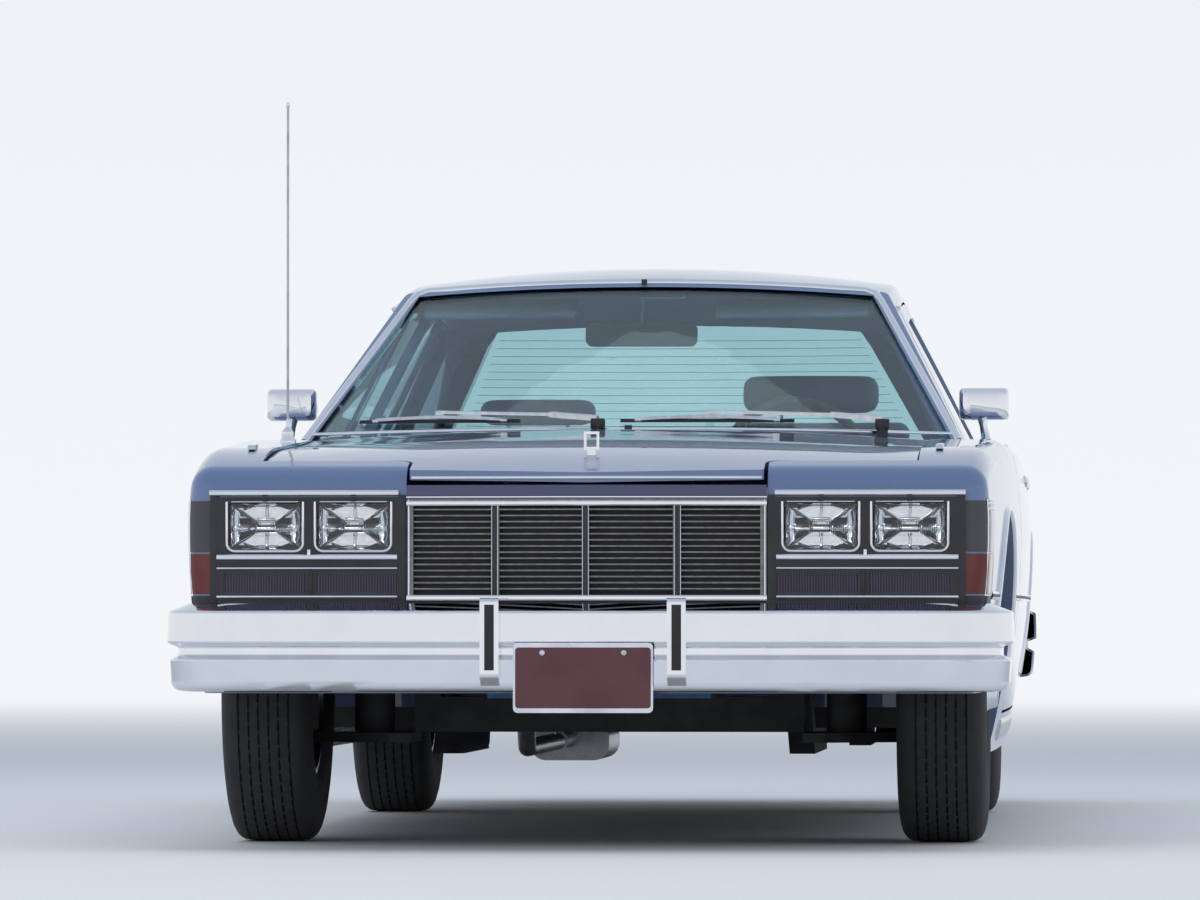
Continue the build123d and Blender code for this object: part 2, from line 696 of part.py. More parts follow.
HOOD_STATIONS = (             # along the car, edge height, middle height
    (-2530.0, 819.0, 823.0),
    (-2425.0, 838.0, 847.0),
    (-2300.0, 858.0, 871.0),
    (-2100.0, 880.0, 898.0),
    (-1600.0, 902.5, 929.0),
    (-1120.0, 923.5, 954.5),
)


def hood_solid(drop):
    sections = []
    half = HOOD_HALF_WIDTH + 20
    for y, edge_z, middle_z in HOOD_STATIONS:
        low = 640.0
        sections.append(make_face([
            ThreePointArc(Vector(-half, y, edge_z - drop), Vector(0, y, middle_z - drop), Vector(half, y, edge_z - drop)),
            Line(Vector(half, y, edge_z - drop), Vector(half, y, low)),
            Line(Vector(half, y, low), Vector(-half, y, low)),
            Line(Vector(-half, y, low), Vector(-half, y, edge_z - drop)),
        ]))
    return loft(sections)


def hood_outline(grow, low):
    """The hood's plan, grown on every side, as a tall prism."""
    wide = HOOD_HALF_WIDTH + grow
    tongue = HOOD_TONGUE_HALF_WIDTH + grow
    front = HOOD_FRONT_Y - grow
    tip = NOSE_Y - 14 - grow
    return prism("z", low, 1100.0, [
        (-wide, HOOD_REAR_Y + grow), (wide, HOOD_REAR_Y + grow), (wide, front, 12 + grow),
        (tongue, front, 40 - grow), (tongue, tip, 8), (0, tip - PROW + 4),
        (-tongue, tip, 8), (-tongue, front, 40 - grow), (-wide, front, 12 + grow)])


HOOD_HINGE = (-1160.0, 940.0)         # along the car and up: the pins' centre line
HOOD_HINGE_X = 200.0
LID_PIN = 5.0
hood = (hood_solid(0.0) - hood_solid(LID_WALL)) & hood_outline(0.0, 600.0)


def lid_hinge_cut(x, y, z, ahead, behind):
    """Bore and pocket in a lid for one hinge, open to below."""
    bore = rod((x - 26, y, z), (x + 26, y, z), LID_PIN + SEAM)
    return bore + box((x - 12, x + 12), (y - ahead, y + behind), (z - 60, z + LID_PIN + 2))


def lid_hinge(x, y, z, foot_y, foot_z):
    """The fixed half of a lid hinge: a pin on an upright that stands on a foot."""
    pin = rod((x - 24, y, z), (x + 24, y, z), LID_PIN)
    upright = box((x - 6, x + 6), (y - LID_PIN, y + LID_PIN), (foot_z - 12, z))
    foot = box((x - 6, x + 6), (min(y, foot_y), max(y, foot_y)), (foot_z - 12, foot_z))
    return pin + upright + foot


for turn in (lambda s: s, other_side):
    hood = hood - turn(lid_hinge_cut(HOOD_HINGE_X, *HOOD_HINGE, 22.0, 9.0))
save("hood", max(hood.solids(), key=lambda s: s.volume))

# Trunk lid
TRUNK_HINGE = (LID_FRONT_Y + 10.0, 908.0)
TRUNK_HINGE_X = 520.0
trunk_lid = LID_SKIN & box((-LID_HALF_WIDTH, LID_HALF_WIDTH), (LID_FRONT_Y, TAIL_Y + 20), (LID_LOWER_Z, 1000))
for turn in (lambda s: s, other_side):
    trunk_lid = trunk_lid - turn(lid_hinge_cut(TRUNK_HINGE_X, *TRUNK_HINGE, 11.0, 22.0))
save("trunk_lid", max(trunk_lid.solids(), key=lambda s: s.volume))

# Deck between the rear window and the lid, with the parcel shelf under the glass
deck = LID_SKIN & box((-DECK_HALF_WIDTH, DECK_HALF_WIDTH), (1340, LID_FRONT_Y - LID_HINGE_GAP), (860, 1000))
deck_under = deck.bounding_box().min.Z
for turn in (lambda s: s, other_side):
    deck = deck + turn(lid_hinge(TRUNK_HINGE_X, *TRUNK_HINGE, LID_FRONT_Y - 30, deck_under + 4))
save("rear_deck", deck)

# Cowl and firewall, with the hood's hinges
FIREWALL_TOP = 904.0
TUNNEL_TOP = 432.0
cowl = LID_SKIN & box((-HOOD_HALF_WIDTH - LID_GAP, HOOD_HALF_WIDTH + LID_GAP),
                      (HOOD_REAR_Y + LID_GAP, -780), (860, 1000))
cowl = max((cowl - CABIN_IN_PILLAR).solids(), key=lambda s: s.volume)
firewall = box((-690, 690), (FIREWALL_Y - 14, FIREWALL_Y), (300, FIREWALL_TOP))
firewall = firewall - box((-160, 160), (FIREWALL_Y - 20, FIREWALL_Y + 5), (200, TUNNEL_TOP + 4))
firewall = firewall + cowl
for turn in (lambda s: s, other_side):
    firewall = firewall + turn(lid_hinge(HOOD_HINGE_X, *HOOD_HINGE, HOOD_REAR_Y + 30, FIREWALL_TOP))
save("firewall", firewall)

# Tail panel with its lamps' holes
tail = BODY_SKIN & box((-DECK_HALF_WIDTH, DECK_HALF_WIDTH), (TAIL_Y - 60, TAIL_Y + 20),
                       (TAIL_LOWER_Z, LID_LOWER_Z - LID_GAP))
tail = tail - lamp_region - other_side(lamp_region)
rear_arm_hole = box((473, 523), (TAIL_Y - 60, TAIL_Y + 20), (367, 415))
tail = tail - rear_arm_hole - other_side(rear_arm_hole)
save("tail_panel", tail)

# Nose: header strip, lamp pods and the panel behind the bumper

nose_region = box((-POD_OUTER_X, POD_OUTER_X), (NOSE_Y - 10, HOOD_FRONT_Y - LID_GAP), (NOSE_LOWER_Z, 1000))
pod_wall = box((POD_INNER_X - 12, POD_INNER_X + 14), (NOSE_Y, HOOD_FRONT_Y - LID_GAP), (GRILLE_BOTTOM, 900)) & BODY
bay = box((POD_INNER_X + 2, LAMP_BAY_OUTER_X), (NOSE_Y - 30, NOSE_Y + 60), (LAMP_BAY_BOTTOM, LAMP_BAY_TOP))
middle_gap = box((-POD_INNER_X + 12, POD_INNER_X - 12), (NOSE_Y - 60, HOOD_FRONT_Y + 5), (GRILLE_BOTTOM, 1000))
BUMPER_ARM_X = (395.0, 435.0)
BUMPER_ARM_Z = (458.0, 488.0)
arm_hole = box((BUMPER_ARM_X[0] - 5, BUMPER_ARM_X[1] + 5), (NOSE_Y - 20, NOSE_Y + 60),
               (BUMPER_ARM_Z[0] - 5, BUMPER_ARM_Z[1] + 5))


def prow_bar(depth, z0, z1, half=GRILLE_HALF_WIDTH - 8, front=0.0):
    """A bar across the grille, pointed forward in the middle."""
    y = NOSE_Y - 8 - front
    return prism("z", z0, z1, [
        (-half, y), (0, y - PROW), (half, y), (half, y + depth), (0, y + depth - PROW), (-half, y + depth)])


nose = (BODY_SKIN & nose_region) - middle_gap
nose = nose + pod_wall + other_side(pod_wall)
nose = nose - bay - other_side(bay) - arm_hole - other_side(arm_hole)
nose = nose + prow_bar(36.0, GRILLE_TOP, HEADER_TOP - 12, half=POD_INNER_X - 12)
nose = nose - hood_outline(LID_GAP, HEADER_TOP - 12)
save("nose_panel", max(nose.solids(), key=lambda s: s.volume))

# Grille: four cells of thin bars behind a frame
grille = prow_bar(GRILLE_DEPTH, GRILLE_BOTTOM, GRILLE_BOTTOM + 12)
grille = grille + prow_bar(GRILLE_DEPTH, GRILLE_TOP - 10, GRILLE_TOP)
pitch = (GRILLE_TOP - 10 - GRILLE_BOTTOM - 12) / (GRILLE_ROWS + 1)
for row in range(GRILLE_ROWS):
    z = GRILLE_BOTTOM + 12 + pitch * (row + 1)
    grille = grille + prow_bar(GRILLE_DEPTH - 8, z - GRILLE_BAR / 2, z + GRILLE_BAR / 2, front=-4)
cell = (GRILLE_HALF_WIDTH - 8) / 2
for step in range(-2, 3):
    x = step * cell
    width = GRILLE_DIVIDER / 2
    low, high = x - width, x + width
    if step == -2:
        high, low = x + GRILLE_DIVIDER, x
    if step == 2:
        low, high = x - GRILLE_DIVIDER, x
    post = prow_bar(GRILLE_DEPTH, GRILLE_BOTTOM, GRILLE_TOP)
    grille = grille + (post & box((low, high), (-2600, -2400), (500, 800)))
save("grille", grille)

# Lamp bezels, headlamps and turn lamps
BEZEL_Y = (NOSE_Y - BEZEL_STAND, NOSE_Y + 18)


def window_block(x, z, size, y, radius):
    half_w, half_h = size[0] / 2, size[1] / 2
    return prism("y", y[0], y[1], [
        (x - half_w, z - half_h, radius), (x + half_w, z - half_h, radius),
        (x + half_w, z + half_h, radius), (x - half_w, z + half_h, radius)])


bezel = box((POD_INNER_X + 2, LAMP_BAY_OUTER_X), BEZEL_Y, (LAMP_BAY_BOTTOM, LAMP_BAY_TOP))
headlamps = []
turn_lamps = []
for x in HEADLAMP_X:
    bezel = bezel - window_block(x, HEADLAMP_Z, HEADLAMP_SIZE, (-2600, -2300), 10)
    headlamps.append(window_block(x, HEADLAMP_Z, HEADLAMP_SIZE, (NOSE_Y - 4, NOSE_Y + 70), 10))
for x in TURN_LAMP_X:
    bezel = bezel - window_block(x, TURN_LAMP_Z, TURN_LAMP_SIZE, (-2600, -2300), 5)
    turn_lamps.append(window_block(x, TURN_LAMP_Z, TURN_LAMP_SIZE, (NOSE_Y - 8, NOSE_Y + 50), 5))
save("lamp_bezels", both(bezel))
save("headlamps", *[both(lamp) for lamp in headlamps])
save("signal_lamps", both(corner_marker), *[both(lamp) for lamp in turn_lamps])

# Bumpers: a grooved channel swept round the corners

def bumper(front_bow, face, end, half_width, corner):
    """The chrome channel, built facing -Y."""
    centre_y = -face + front_bow
    corner_x = half_width - corner
    corner_y = centre_y - sqrt((front_bow - corner) ** 2 - corner_x ** 2)
    lean = asin(corner_x / (front_bow - corner))

    def section(normal, at, face_at, inward):
        corners = [(face_at + inward * depth, z, radius) for depth, z, radius in BUMPER_PROFILE]
        full = outline(normal, at, corners)
        hollow = offset(full, amount=-BUMPER_WALL, kind=Kind.INTERSECTION)
        near, far = face_at + inward * BUMPER_BACK, face_at + inward * (BUMPER_BACK + 20)
        back = outline(normal, at, [(near, 362), (far, 362), (far, 524), (near, 524)])
        return full - hollow - back

    lean_degrees = lean * 180 / pi
    front_axis = Axis((0, centre_y, 0), (0, 0, 1))
    corner_axis = Axis((corner_x, corner_y, 0), (0, 0, 1))
    front = revolve(section("x", 0, -face, 1).rotate(front_axis, -lean_degrees), axis=front_axis,
                    revolution_arc=2 * lean_degrees)
    bend = revolve(section("x", corner_x, corner_y - corner, 1).rotate(corner_axis, lean_degrees), axis=corner_axis,
                   revolution_arc=90 - lean_degrees)
    straight = extrude(section("y", corner_y, half_width, -1), amount=-end - corner_y, dir=(0, 1, 0))
    return front + bend + other_side(bend) + straight + other_side(straight)


front_bar = bumper(BUMPER_FRONT_BOW, BUMPER_FACE, BUMPER_END, BUMPER_HALF_WIDTH, BUMPER_CORNER)
guard = prism("x", GUARD_X[0], GUARD_X[1], [
    (-HALF_LENGTH, GUARD_Z[0] + 20, 10), (-BUMPER_FACE + 10, GUARD_Z[0], 4), (-BUMPER_FACE + 24, GUARD_Z[0], 4),
    (-BUMPER_FACE + 24, GUARD_Z[1], 6), (-HALF_LENGTH, GUARD_Z[1], 10)])
bar = front_bar + guard + other_side(guard)
RAIL_FRONT_Y = NOSE_Y + WALL + 2
front_arm = box(BUMPER_ARM_X, (-BUMPER_FACE + 16, RAIL_FRONT_Y), BUMPER_ARM_Z)
PLATE_BRACKET = ((-150.0, 150.0), (312.0, 448.0))
PLATE_BOLT_SPACING = 177.8
PLATE_BOLT_RADIUS = 3.5
PLATE_BOLT_Z = 434.0
bracket = box(PLATE_BRACKET[0], (-BUMPER_FACE - 6, -BUMPER_FACE - 2), PLATE_BRACKET[1])
bracket = bracket + box((-60, 60), (-BUMPER_FACE - 4, -BUMPER_FACE + 12), (365, 412))
for x in (-PLATE_BOLT_SPACING / 2, PLATE_BOLT_SPACING / 2):
    bracket = bracket - rod((x, -BUMPER_FACE - 20, PLATE_BOLT_Z), (x, -BUMPER_FACE, PLATE_BOLT_Z), PLATE_BOLT_RADIUS)
front_bumper = bar + front_arm + other_side(front_arm) + bracket
save("front_bumper", front_bumper)
REAR_RAIL_END_Y = TAIL_Y - WALL - 2
REAR_ARM_X = (478.0, 518.0)
REAR_ARM_Z = (372.0, 410.0)
rear_arm = box(REAR_ARM_X, (REAR_RAIL_END_Y, BUMPER_FACE - 24), REAR_ARM_Z)
rear_bumper = mirror(bar, about=Plane.XZ) + rear_arm + other_side(rear_arm)
save("rear_bumper", rear_bumper)

# Floor, wheelhouses and frame

FLOOR_LINE = (                # upper face of the floor, from the toe board to the trunk
    (FIREWALL_Y, 330.0), (-930.0, FLOOR_TOP), (760.0, FLOOR_TOP), (850.0, 420.0), (1060.0, 420.0),
    (1090.0, 520.0), (1420.0, 520.0), (1580.0, 430.0), (TAIL_Y - WALL - 2, 430.0),
)
upper = [(y, z) for y, z in FLOOR_LINE]
under = [(y, z - FLOOR_WALL) for y, z in reversed(FLOOR_LINE)]
floor = prism("x", -768.0, 768.0, upper + under)
HOUSE_INNER_X = 588.0
for turn in (lambda s: s, other_side):
    floor = floor - turn(box((HOUSE_INNER_X, 900), (REAR_AXLE_Y - 430, REAR_AXLE_Y + 430), (240, 700)))
TUNNEL_HALF = (150.0, 105.0)  # at the floor and at its top
TUNNEL_END_Y = 848.0


def tunnel(shrink):
    low, high = TUNNEL_HALF
    foot = FLOOR_TOP - FLOOR_WALL - (1 if shrink else 0)
    return prism("y", FIREWALL_Y, TUNNEL_END_Y, [
        (-low + shrink, foot), (low - shrink, foot),
        (high - shrink, TUNNEL_TOP - shrink, 20), (-high + shrink, TUNNEL_TOP - shrink, 20)])


floor = floor + tunnel(0.0)
floor = floor - tunnel(FLOOR_WALL)
SEAT_X = (160.0, 650.0)
TRACK_TOP = 300.0
for x in (SEAT_X[0] + 60, SEAT_X[1] - 90):
    track = box((x, x + 30), (-200, 230), (FLOOR_TOP, TRACK_TOP))
    floor = floor + track + other_side(track)
save("floor_pan", max(floor.solids(), key=lambda s: s.volume))


def wheelhouse(y, inner_x, outer_x, radius, wall, low):
    """A half tub over a wheel: a bent sheet and its inner wall."""
    tub = drum((inner_x, outer_x), y, AXLE_Z, radius + wall) - drum((inner_x + wall, 1200), y, AXLE_Z, radius)
    tub = tub & box((inner_x - 1, outer_x + 1), (y - 700, y + 700), (low, 900))
    return tub & lower_body(WALL + SEAM, rounded=False)


front_house = wheelhouse(FRONT_AXLE_Y, 458.0, 905.0, FRONT_ARCH_RADIUS + 4, 8.0, 470.0)
rear_house = wheelhouse(REAR_AXLE_Y, HOUSE_INNER_X, 905.0, REAR_ARCH_RADIUS + 4, 8.0, 430.0)
rear_house = rear_house - box((500, 900), (700, 1800), (0, 431))
save("front_wheelhouses", both(front_house))
save("rear_wheelhouses", both(rear_house))

RAIL_X = (385.0, 445.0)
rail = prism("x", RAIL_X[0], RAIL_X[1], [
    (RAIL_FRONT_Y, 410), (RAIL_FRONT_Y, 490), (-1500, 490), (-1100, 300), (-1020, 250), (-300, 250), (-300, 190),
    (-1060, 190), (-1180, 250), (-1560, 410)])
REAR_RAIL_X = (470.0, 525.0)
rail_top = [(y, z - FLOOR_WALL) for y, z in FLOOR_LINE[2:-1]]
rear_rail = prism("x", *REAR_RAIL_X, [(560, FLOOR_TOP - FLOOR_WALL)] + rail_top + [
    (REAR_RAIL_END_Y, 430 - FLOOR_WALL), (REAR_RAIL_END_Y, 350), (1560, 350), (1380, 445), (1120, 445),
    (1060, 345), (900, 335), (800, 185), (560, 185)])
cross = box((-RAIL_X[0], RAIL_X[0]), (-1700, -1600), (250, 330))
drop_arm = box((RAIL_X[0], RAIL_X[1]), (-1700, -1600), (250, 410))
RADIATOR_Y = (-2340.0, -2290.0)
RADIATOR_BOTTOM = 425.0
radiator_beam = box((-RAIL_X[0], RAIL_X[0]), (RADIATOR_Y[0] - 5, RADIATOR_Y[1] + 5),
                    (RADIATOR_BOTTOM - 30, RADIATOR_BOTTOM))
LEAF_X = (535.0, 590.0)
LEAF_HALF = 640.0             # of the leaf springs' length
for y, z in ((REAR_AXLE_Y - LEAF_HALF, (190, 245)), (REAR_AXLE_Y + LEAF_HALF, (322, 410))):
    rear_rail = rear_rail + box((REAR_RAIL_X[1], LEAF_X[0]), (y - 20, y + 20), z)
save("frame_rails", rail + other_side(rail) + radiator_beam, both(rear_rail))

# Suspension, engine and running gear
front_suspension = cross + drop_arm + other_side(drop_arm)
BALL_RADIUS = 16.0
ARM_Z = (AXLE_Z - 104.0, AXLE_Z + 112.0)
KNUCKLE_Z = (ARM_Z[0] + 17.0, ARM_Z[1] - 16.0)
DISC_X = (STEER_AXIS_X + 18.0, STEER_AXIS_X + 34.0)   # clear of the arms' ends at full lock
DISC_RADIUS = 132.0


def control_arm(z, inner_x, spread, thick):
    """A wishbone from two frame pivots to the ball joint."""
    arm = prism("z", z - thick / 2, z + thick / 2, [
        (inner_x, FRONT_AXLE_Y - spread), (inner_x + 50, FRONT_AXLE_Y - spread),
        (STEER_AXIS_X + 6, FRONT_AXLE_Y - 22, 14), (STEER_AXIS_X + 6, FRONT_AXLE_Y + 22, 14),
        (inner_x + 50, FRONT_AXLE_Y + spread), (inner_x, FRONT_AXLE_Y + spread)])
    hole = prism("z", z - 50, z + 50, [
        (inner_x + 50, FRONT_AXLE_Y - spread + 45, 10), (STEER_AXIS_X - 70, FRONT_AXLE_Y, 10),
        (inner_x + 50, FRONT_AXLE_Y + spread - 45, 10)])
    return arm - hole


lower_arm = control_arm(ARM_Z[0], RAIL_X[1], 150, 22)
upper_arm = control_arm(ARM_Z[1], RAIL_X[1], 110, 20)
spring = rod((540, FRONT_AXLE_Y, ARM_Z[0] + 5), (540, FRONT_AXLE_Y, 560), 46)
upper_arm = upper_arm - rod((540, FRONT_AXLE_Y, 300), (540, FRONT_AXLE_Y, 600), 56)
lower_arm = lower_arm + spring
save("front_suspension", front_suspension + lower_arm + other_side(lower_arm), both(upper_arm))

ENGINE_REAR_Y = -1390.0
engine = box((-250, 250), (-2060, ENGINE_REAR_Y), (330, 620)) + box((-120, 120), (-2030, -1420), (620, 740))
engine = engine + rod((0, -1725, 740), (0, -1725, 815), 190)
save("engine", engine)
radiator = box((-330, 330), RADIATOR_Y, (RADIATOR_BOTTOM, 790))
save("radiator", radiator)
DIFFERENTIAL_HALF = 110.0
SHAFT_END_Y = REAR_AXLE_Y - DIFFERENTIAL_HALF
gearbox = rod((0, ENGINE_REAR_Y, 330), (0, -880, 330), 80)
shaft = rod((0, -880, 330), (0, SHAFT_END_Y, 330), 34)
save("drive_line", gearbox + shaft)

axle = drum((-REAR_TRACK_HALF + 20, REAR_TRACK_HALF - 20), REAR_AXLE_Y, AXLE_Z, 38)
differential = rod((0, REAR_AXLE_Y - DIFFERENTIAL_HALF, AXLE_Z), (0, REAR_AXLE_Y + DIFFERENTIAL_HALF, AXLE_Z), 105)
axle = axle + differential
for turn in (lambda s: s, other_side):
    axle = axle + turn(drum((REAR_TRACK_HALF - 80, REAR_TRACK_HALF - 22), REAR_AXLE_Y, AXLE_Z, 138))
    axle = axle + turn(drum((REAR_TRACK_HALF - 22, REAR_TRACK_HALF + 34), REAR_AXLE_Y, AXLE_Z,
                            HUB_BORE - SPINDLE_CLEARANCE))

leaf = prism("x", *LEAF_X, [
    (REAR_AXLE_Y - LEAF_HALF, 195), (REAR_AXLE_Y - LEAF_HALF, 213), (REAR_AXLE_Y - 60, 306), (REAR_AXLE_Y + 60, 306),
    (REAR_AXLE_Y + LEAF_HALF, 345), (REAR_AXLE_Y + LEAF_HALF, 325), (REAR_AXLE_Y + 60, 276), (REAR_AXLE_Y - 60, 276)])

save("rear_axle", axle + leaf + other_side(leaf))

tank = prism("x", -360.0, 360.0, [
    (1720, 240, 30), (2330, 240, 30), (2330, 417.7, 20), (1720, 417.7, 20)])
save("fuel_tank", tank)
PIPE_ROUTE = (
    (-215, -1420, 400), (-230, -1130, 205), (-230, 890, 205), (-250, 1130, 440),
    (-290, 1390, 440), (-415, 1640, 300), (-415, 2420, 300),
)
pipe_path = FilletPolyline(*PIPE_ROUTE, radius=70)
pipe_start = Plane(origin=PIPE_ROUTE[0], z_dir=Vector(*PIPE_ROUTE[1]) - Vector(*PIPE_ROUTE[0]))
pipe = sweep(pipe_start * Circle(21), path=pipe_path)
muffler = fillet(box((-330, -130), (330, 760), (150, 246)).edges().filter_by(Axis.Y), 40)
exhaust = pipe - engine + muffler
UNDER_FLOOR = FLOOR_TOP - FLOOR_WALL
UNDER_TRUNK = FLOOR_LINE[-1][1] - FLOOR_WALL
PIPE_HANGERS = (              # x, y, pipe height, floor height
    (-230.0, -300.0, 205.0, UNDER_FLOOR), (-230.0, 800.0, 205.0, UNDER_FLOOR), (-415.0, 2200.0, 300.0, UNDER_TRUNK),
)
for x, y, pipe_z, floor_z in PIPE_HANGERS:
    exhaust = exhaust + box((x - 8, x + 8), (y - 12, y + 12), (pipe_z, floor_z))
save("exhaust", exhaust)

# Knuckles, wheels and tyres


def wheel_profile_face(points, x, y, z):
    """A half section turned about the wheel's own axle, (offset outward, radius)."""
    spots = [Vector(x + offset_x, y, z + radius) for offset_x, radius in points]
    edges = [Line(spots[i], spots[(i + 1) % len(spots)]) for i in range(len(spots))]
    return revolve(make_face(edges), axis=Axis((x, y, z), (1, 0, 0)), revolution_arc=360)


TYRE_SECTION = (
    (-TYRE_HALF_WIDTH, RIM_RADIUS + 0.3), (-TYRE_HALF_WIDTH, 326.0), (-88.0, TYRE_RADIUS),
    (88.0, TYRE_RADIUS), (TYRE_HALF_WIDTH, 326.0), (TYRE_HALF_WIDTH, RIM_RADIUS + 0.3),
)
WHEEL_SECTION = (
    (-RIM_HALF_WIDTH, 178.0), (-RIM_HALF_WIDTH, RIM_RADIUS), (RIM_HALF_WIDTH, RIM_RADIUS), (RIM_HALF_WIDTH, 182.0),
    (60.0, 172.0), (66.0, 120.0), (84.0, 62.0), (92.0, 36.0), (122.0, 30.0), (122.0, 0.0), (38.0, 0.0),
    (38.0, HUB_BORE), (-18.0, HUB_BORE),
    (-18.0, 46.0), (6.0, 50.0), (22.0, 160.0), (-60.0, 170.0),
)


def wheel(x, y):
    return wheel_profile_face(WHEEL_SECTION, x, y, AXLE_Z)


def tyre(x, y):
    return wheel_profile_face(TYRE_SECTION, x, y, AXLE_Z)


knuckle = box((STEER_AXIS_X - 18, STEER_AXIS_X + 18), (FRONT_AXLE_Y - 24, FRONT_AXLE_Y + 24), KNUCKLE_Z)
knuckle = knuckle + drum((STEER_AXIS_X, FRONT_TRACK_HALF - 18.6), FRONT_AXLE_Y, AXLE_Z, 44)
knuckle = knuckle + drum((STEER_AXIS_X, FRONT_TRACK_HALF + 34), FRONT_AXLE_Y, AXLE_Z, HUB_BORE - SPINDLE_CLEARANCE)
knuckle = knuckle + drum(DISC_X, FRONT_AXLE_Y, AXLE_Z, DISC_RADIUS)
for low, high in ((ARM_Z[0] + 11.3, KNUCKLE_Z[0]), (KNUCKLE_Z[1], ARM_Z[1] - 10.3)):
    knuckle = knuckle + rod((STEER_AXIS_X, FRONT_AXLE_Y, low), (STEER_AXIS_X, FRONT_AXLE_Y, high), BALL_RADIUS)

WHEEL_PLACES = (
    ("front_left", FRONT_TRACK_HALF, FRONT_AXLE_Y, False),
    ("front_right", FRONT_TRACK_HALF, FRONT_AXLE_Y, True),
    ("rear_left", REAR_TRACK_HALF, REAR_AXLE_Y, False),
    ("rear_right", REAR_TRACK_HALF, REAR_AXLE_Y, True),
)
for name, x, y, mirrored in WHEEL_PLACES:
    turn = other_side if mirrored else (lambda s: s)
    save("wheel_" + name, turn(wheel(x, y)))
    save("tyre_" + name, turn(tyre(x, y)))
save("knuckle_left", knuckle)
save("knuckle_right", other_side(knuckle))

# Cabin furniture
SEAT_FRONT_Y = -260.0
CUSHION_TOP = 560.0
BACK_TOP = {"driver": 1040.0, "passenger": 1010.0}
front_seats = []
for who, turn in (("driver", lambda s: s), ("passenger", other_side)):
    y = SEAT_FRONT_Y
    cushion = prism("x", *SEAT_X, [
        (y, TRACK_TOP + SEAM, 30), (y + 520, TRACK_TOP + SEAM, 20), (y + 500, CUSHION_TOP - 30, 20), (y, CUSHION_TOP, 50)])
    rest = prism("x", *SEAT_X, [
        (y + 500, TRACK_TOP + 40, 20), (y + 620, TRACK_TOP + 40, 20), (y + 720, BACK_TOP[who], 40),
        (y + 600, BACK_TOP[who], 30)])
    front_seats += solids_of(turn(cushion + rest))
save("front_seats", *front_seats)
SEAT_FLOOR = FLOOR_LINE[4][1] + SEAM
rear_cushion = prism("x", -580.0, 580.0, [
    (860, SEAT_FLOOR, 10), (1050, SEAT_FLOOR, 10), (1050, 560, 20), (640, 590, 50), (640, 470, 30), (850, 450, 10)])
rear_back = prism("x", -580.0, 580.0, [(1100, 520 + SEAM, 20), (1210, 520 + SEAM, 20), (1335, 888, 30), (1240, 888, 40)])
save("rear_seat", rear_cushion, rear_back)

dash = prism("x", -745.0, 745.0, [
    (FIREWALL_Y + 8, 610), (FIREWALL_Y + 8, 882, 10), (-610, 897, 30), (-560, 860, 20), (-600, 720, 30),
    (-640, 610, 10)])
dash = dash - box((A_POST_X[0] - 5, 900), (-1100, A_POST_SPAN[1] + 5), (500, 1000))
dash = dash - box((-900, -A_POST_X[0] + 5), (-1100, A_POST_SPAN[1] + 5), (500, 1000))
dash = dash + box((-600, 600), (FIREWALL_Y, FIREWALL_Y + 20), (650, 860))

tilt = radians(STEERING_TILT)
column_line = Vector(0, cos(tilt), sin(tilt))
hub = Vector(*STEERING_HUB)
column = rod(tuple(hub - column_line * 45), tuple(hub - column_line * 560), 28)
save("dashboard", dash + column)
wheel_plane = Location(Plane(origin=hub, x_dir=(1, 0, 0), z_dir=column_line))
rim = wheel_plane * Torus(STEERING_WHEEL_RADIUS - 13, 13)
boss = wheel_plane * (Pos(0, 0, -22) * Cylinder(38, 44))
spokes = wheel_plane * (Pos(0, 0, -8) * Box(2 * STEERING_WHEEL_RADIUS - 30, 34, 12))
save("steering_wheel", rim + boss + spokes)

# Small outer pieces
MIRROR_Y = -655.0
MIRROR_X = (776.0, 896.0)
MIRROR_Z = (986.0, 1064.0)
mirror_head = fillet(box(MIRROR_X, (MIRROR_Y - 34, MIRROR_Y + 30), MIRROR_Z).edges(), 12)
mirror_stem = rod((838, MIRROR_Y, BELT_Z - 10), (828, MIRROR_Y, 1000), 11) - BODY
outer_mirror = mirror_head + max(mirror_stem.solids(), key=lambda s: s.volume)
save("mirror_left", outer_mirror)
save("mirror_right", other_side(outer_mirror))

ORNAMENT_Y = -2305.0
ORNAMENT_TOP = 921.0
ornament = box((-17, 17), (ORNAMENT_Y - 4, ORNAMENT_Y + 4), (880, ORNAMENT_TOP))
ornament = ornament - box((-11, 11), (ORNAMENT_Y - 10, ORNAMENT_Y + 10), (887, ORNAMENT_TOP - 6))
ornament = ornament + rod((0, ORNAMENT_Y, 860), (0, ORNAMENT_Y, 882), 12) - hood_solid(0.0)
save("hood_ornament", max(ornament.solids(), key=lambda s: s.volume))

ANTENNA = (-762.0, -1455.0)
ANTENNA_TOP = 1705.0
antenna_z = fender_height(ANTENNA[1])
antenna = rod((*ANTENNA, antenna_z - 5), (*ANTENNA, antenna_z + 22), 14)
antenna = antenna + rod((*ANTENNA, antenna_z), (*ANTENNA, ANTENNA_TOP), 3) - BODY
save("antenna", max(antenna.solids(), key=lambda s: s.volume))


def glass_spot(x, z, ahead):
    """A point just ahead of the windshield."""
    corner, middle = cabin_spot(0, z, GLASS_INSET), cabin_spot(1, z, GLASS_INSET)
    sagitta = corner.Y - middle.Y
    radius = (corner.X ** 2 + sagitta ** 2) / (2 * sagitta)
    return (x, middle.Y + radius - sqrt(radius ** 2 - x ** 2) - ahead, z)


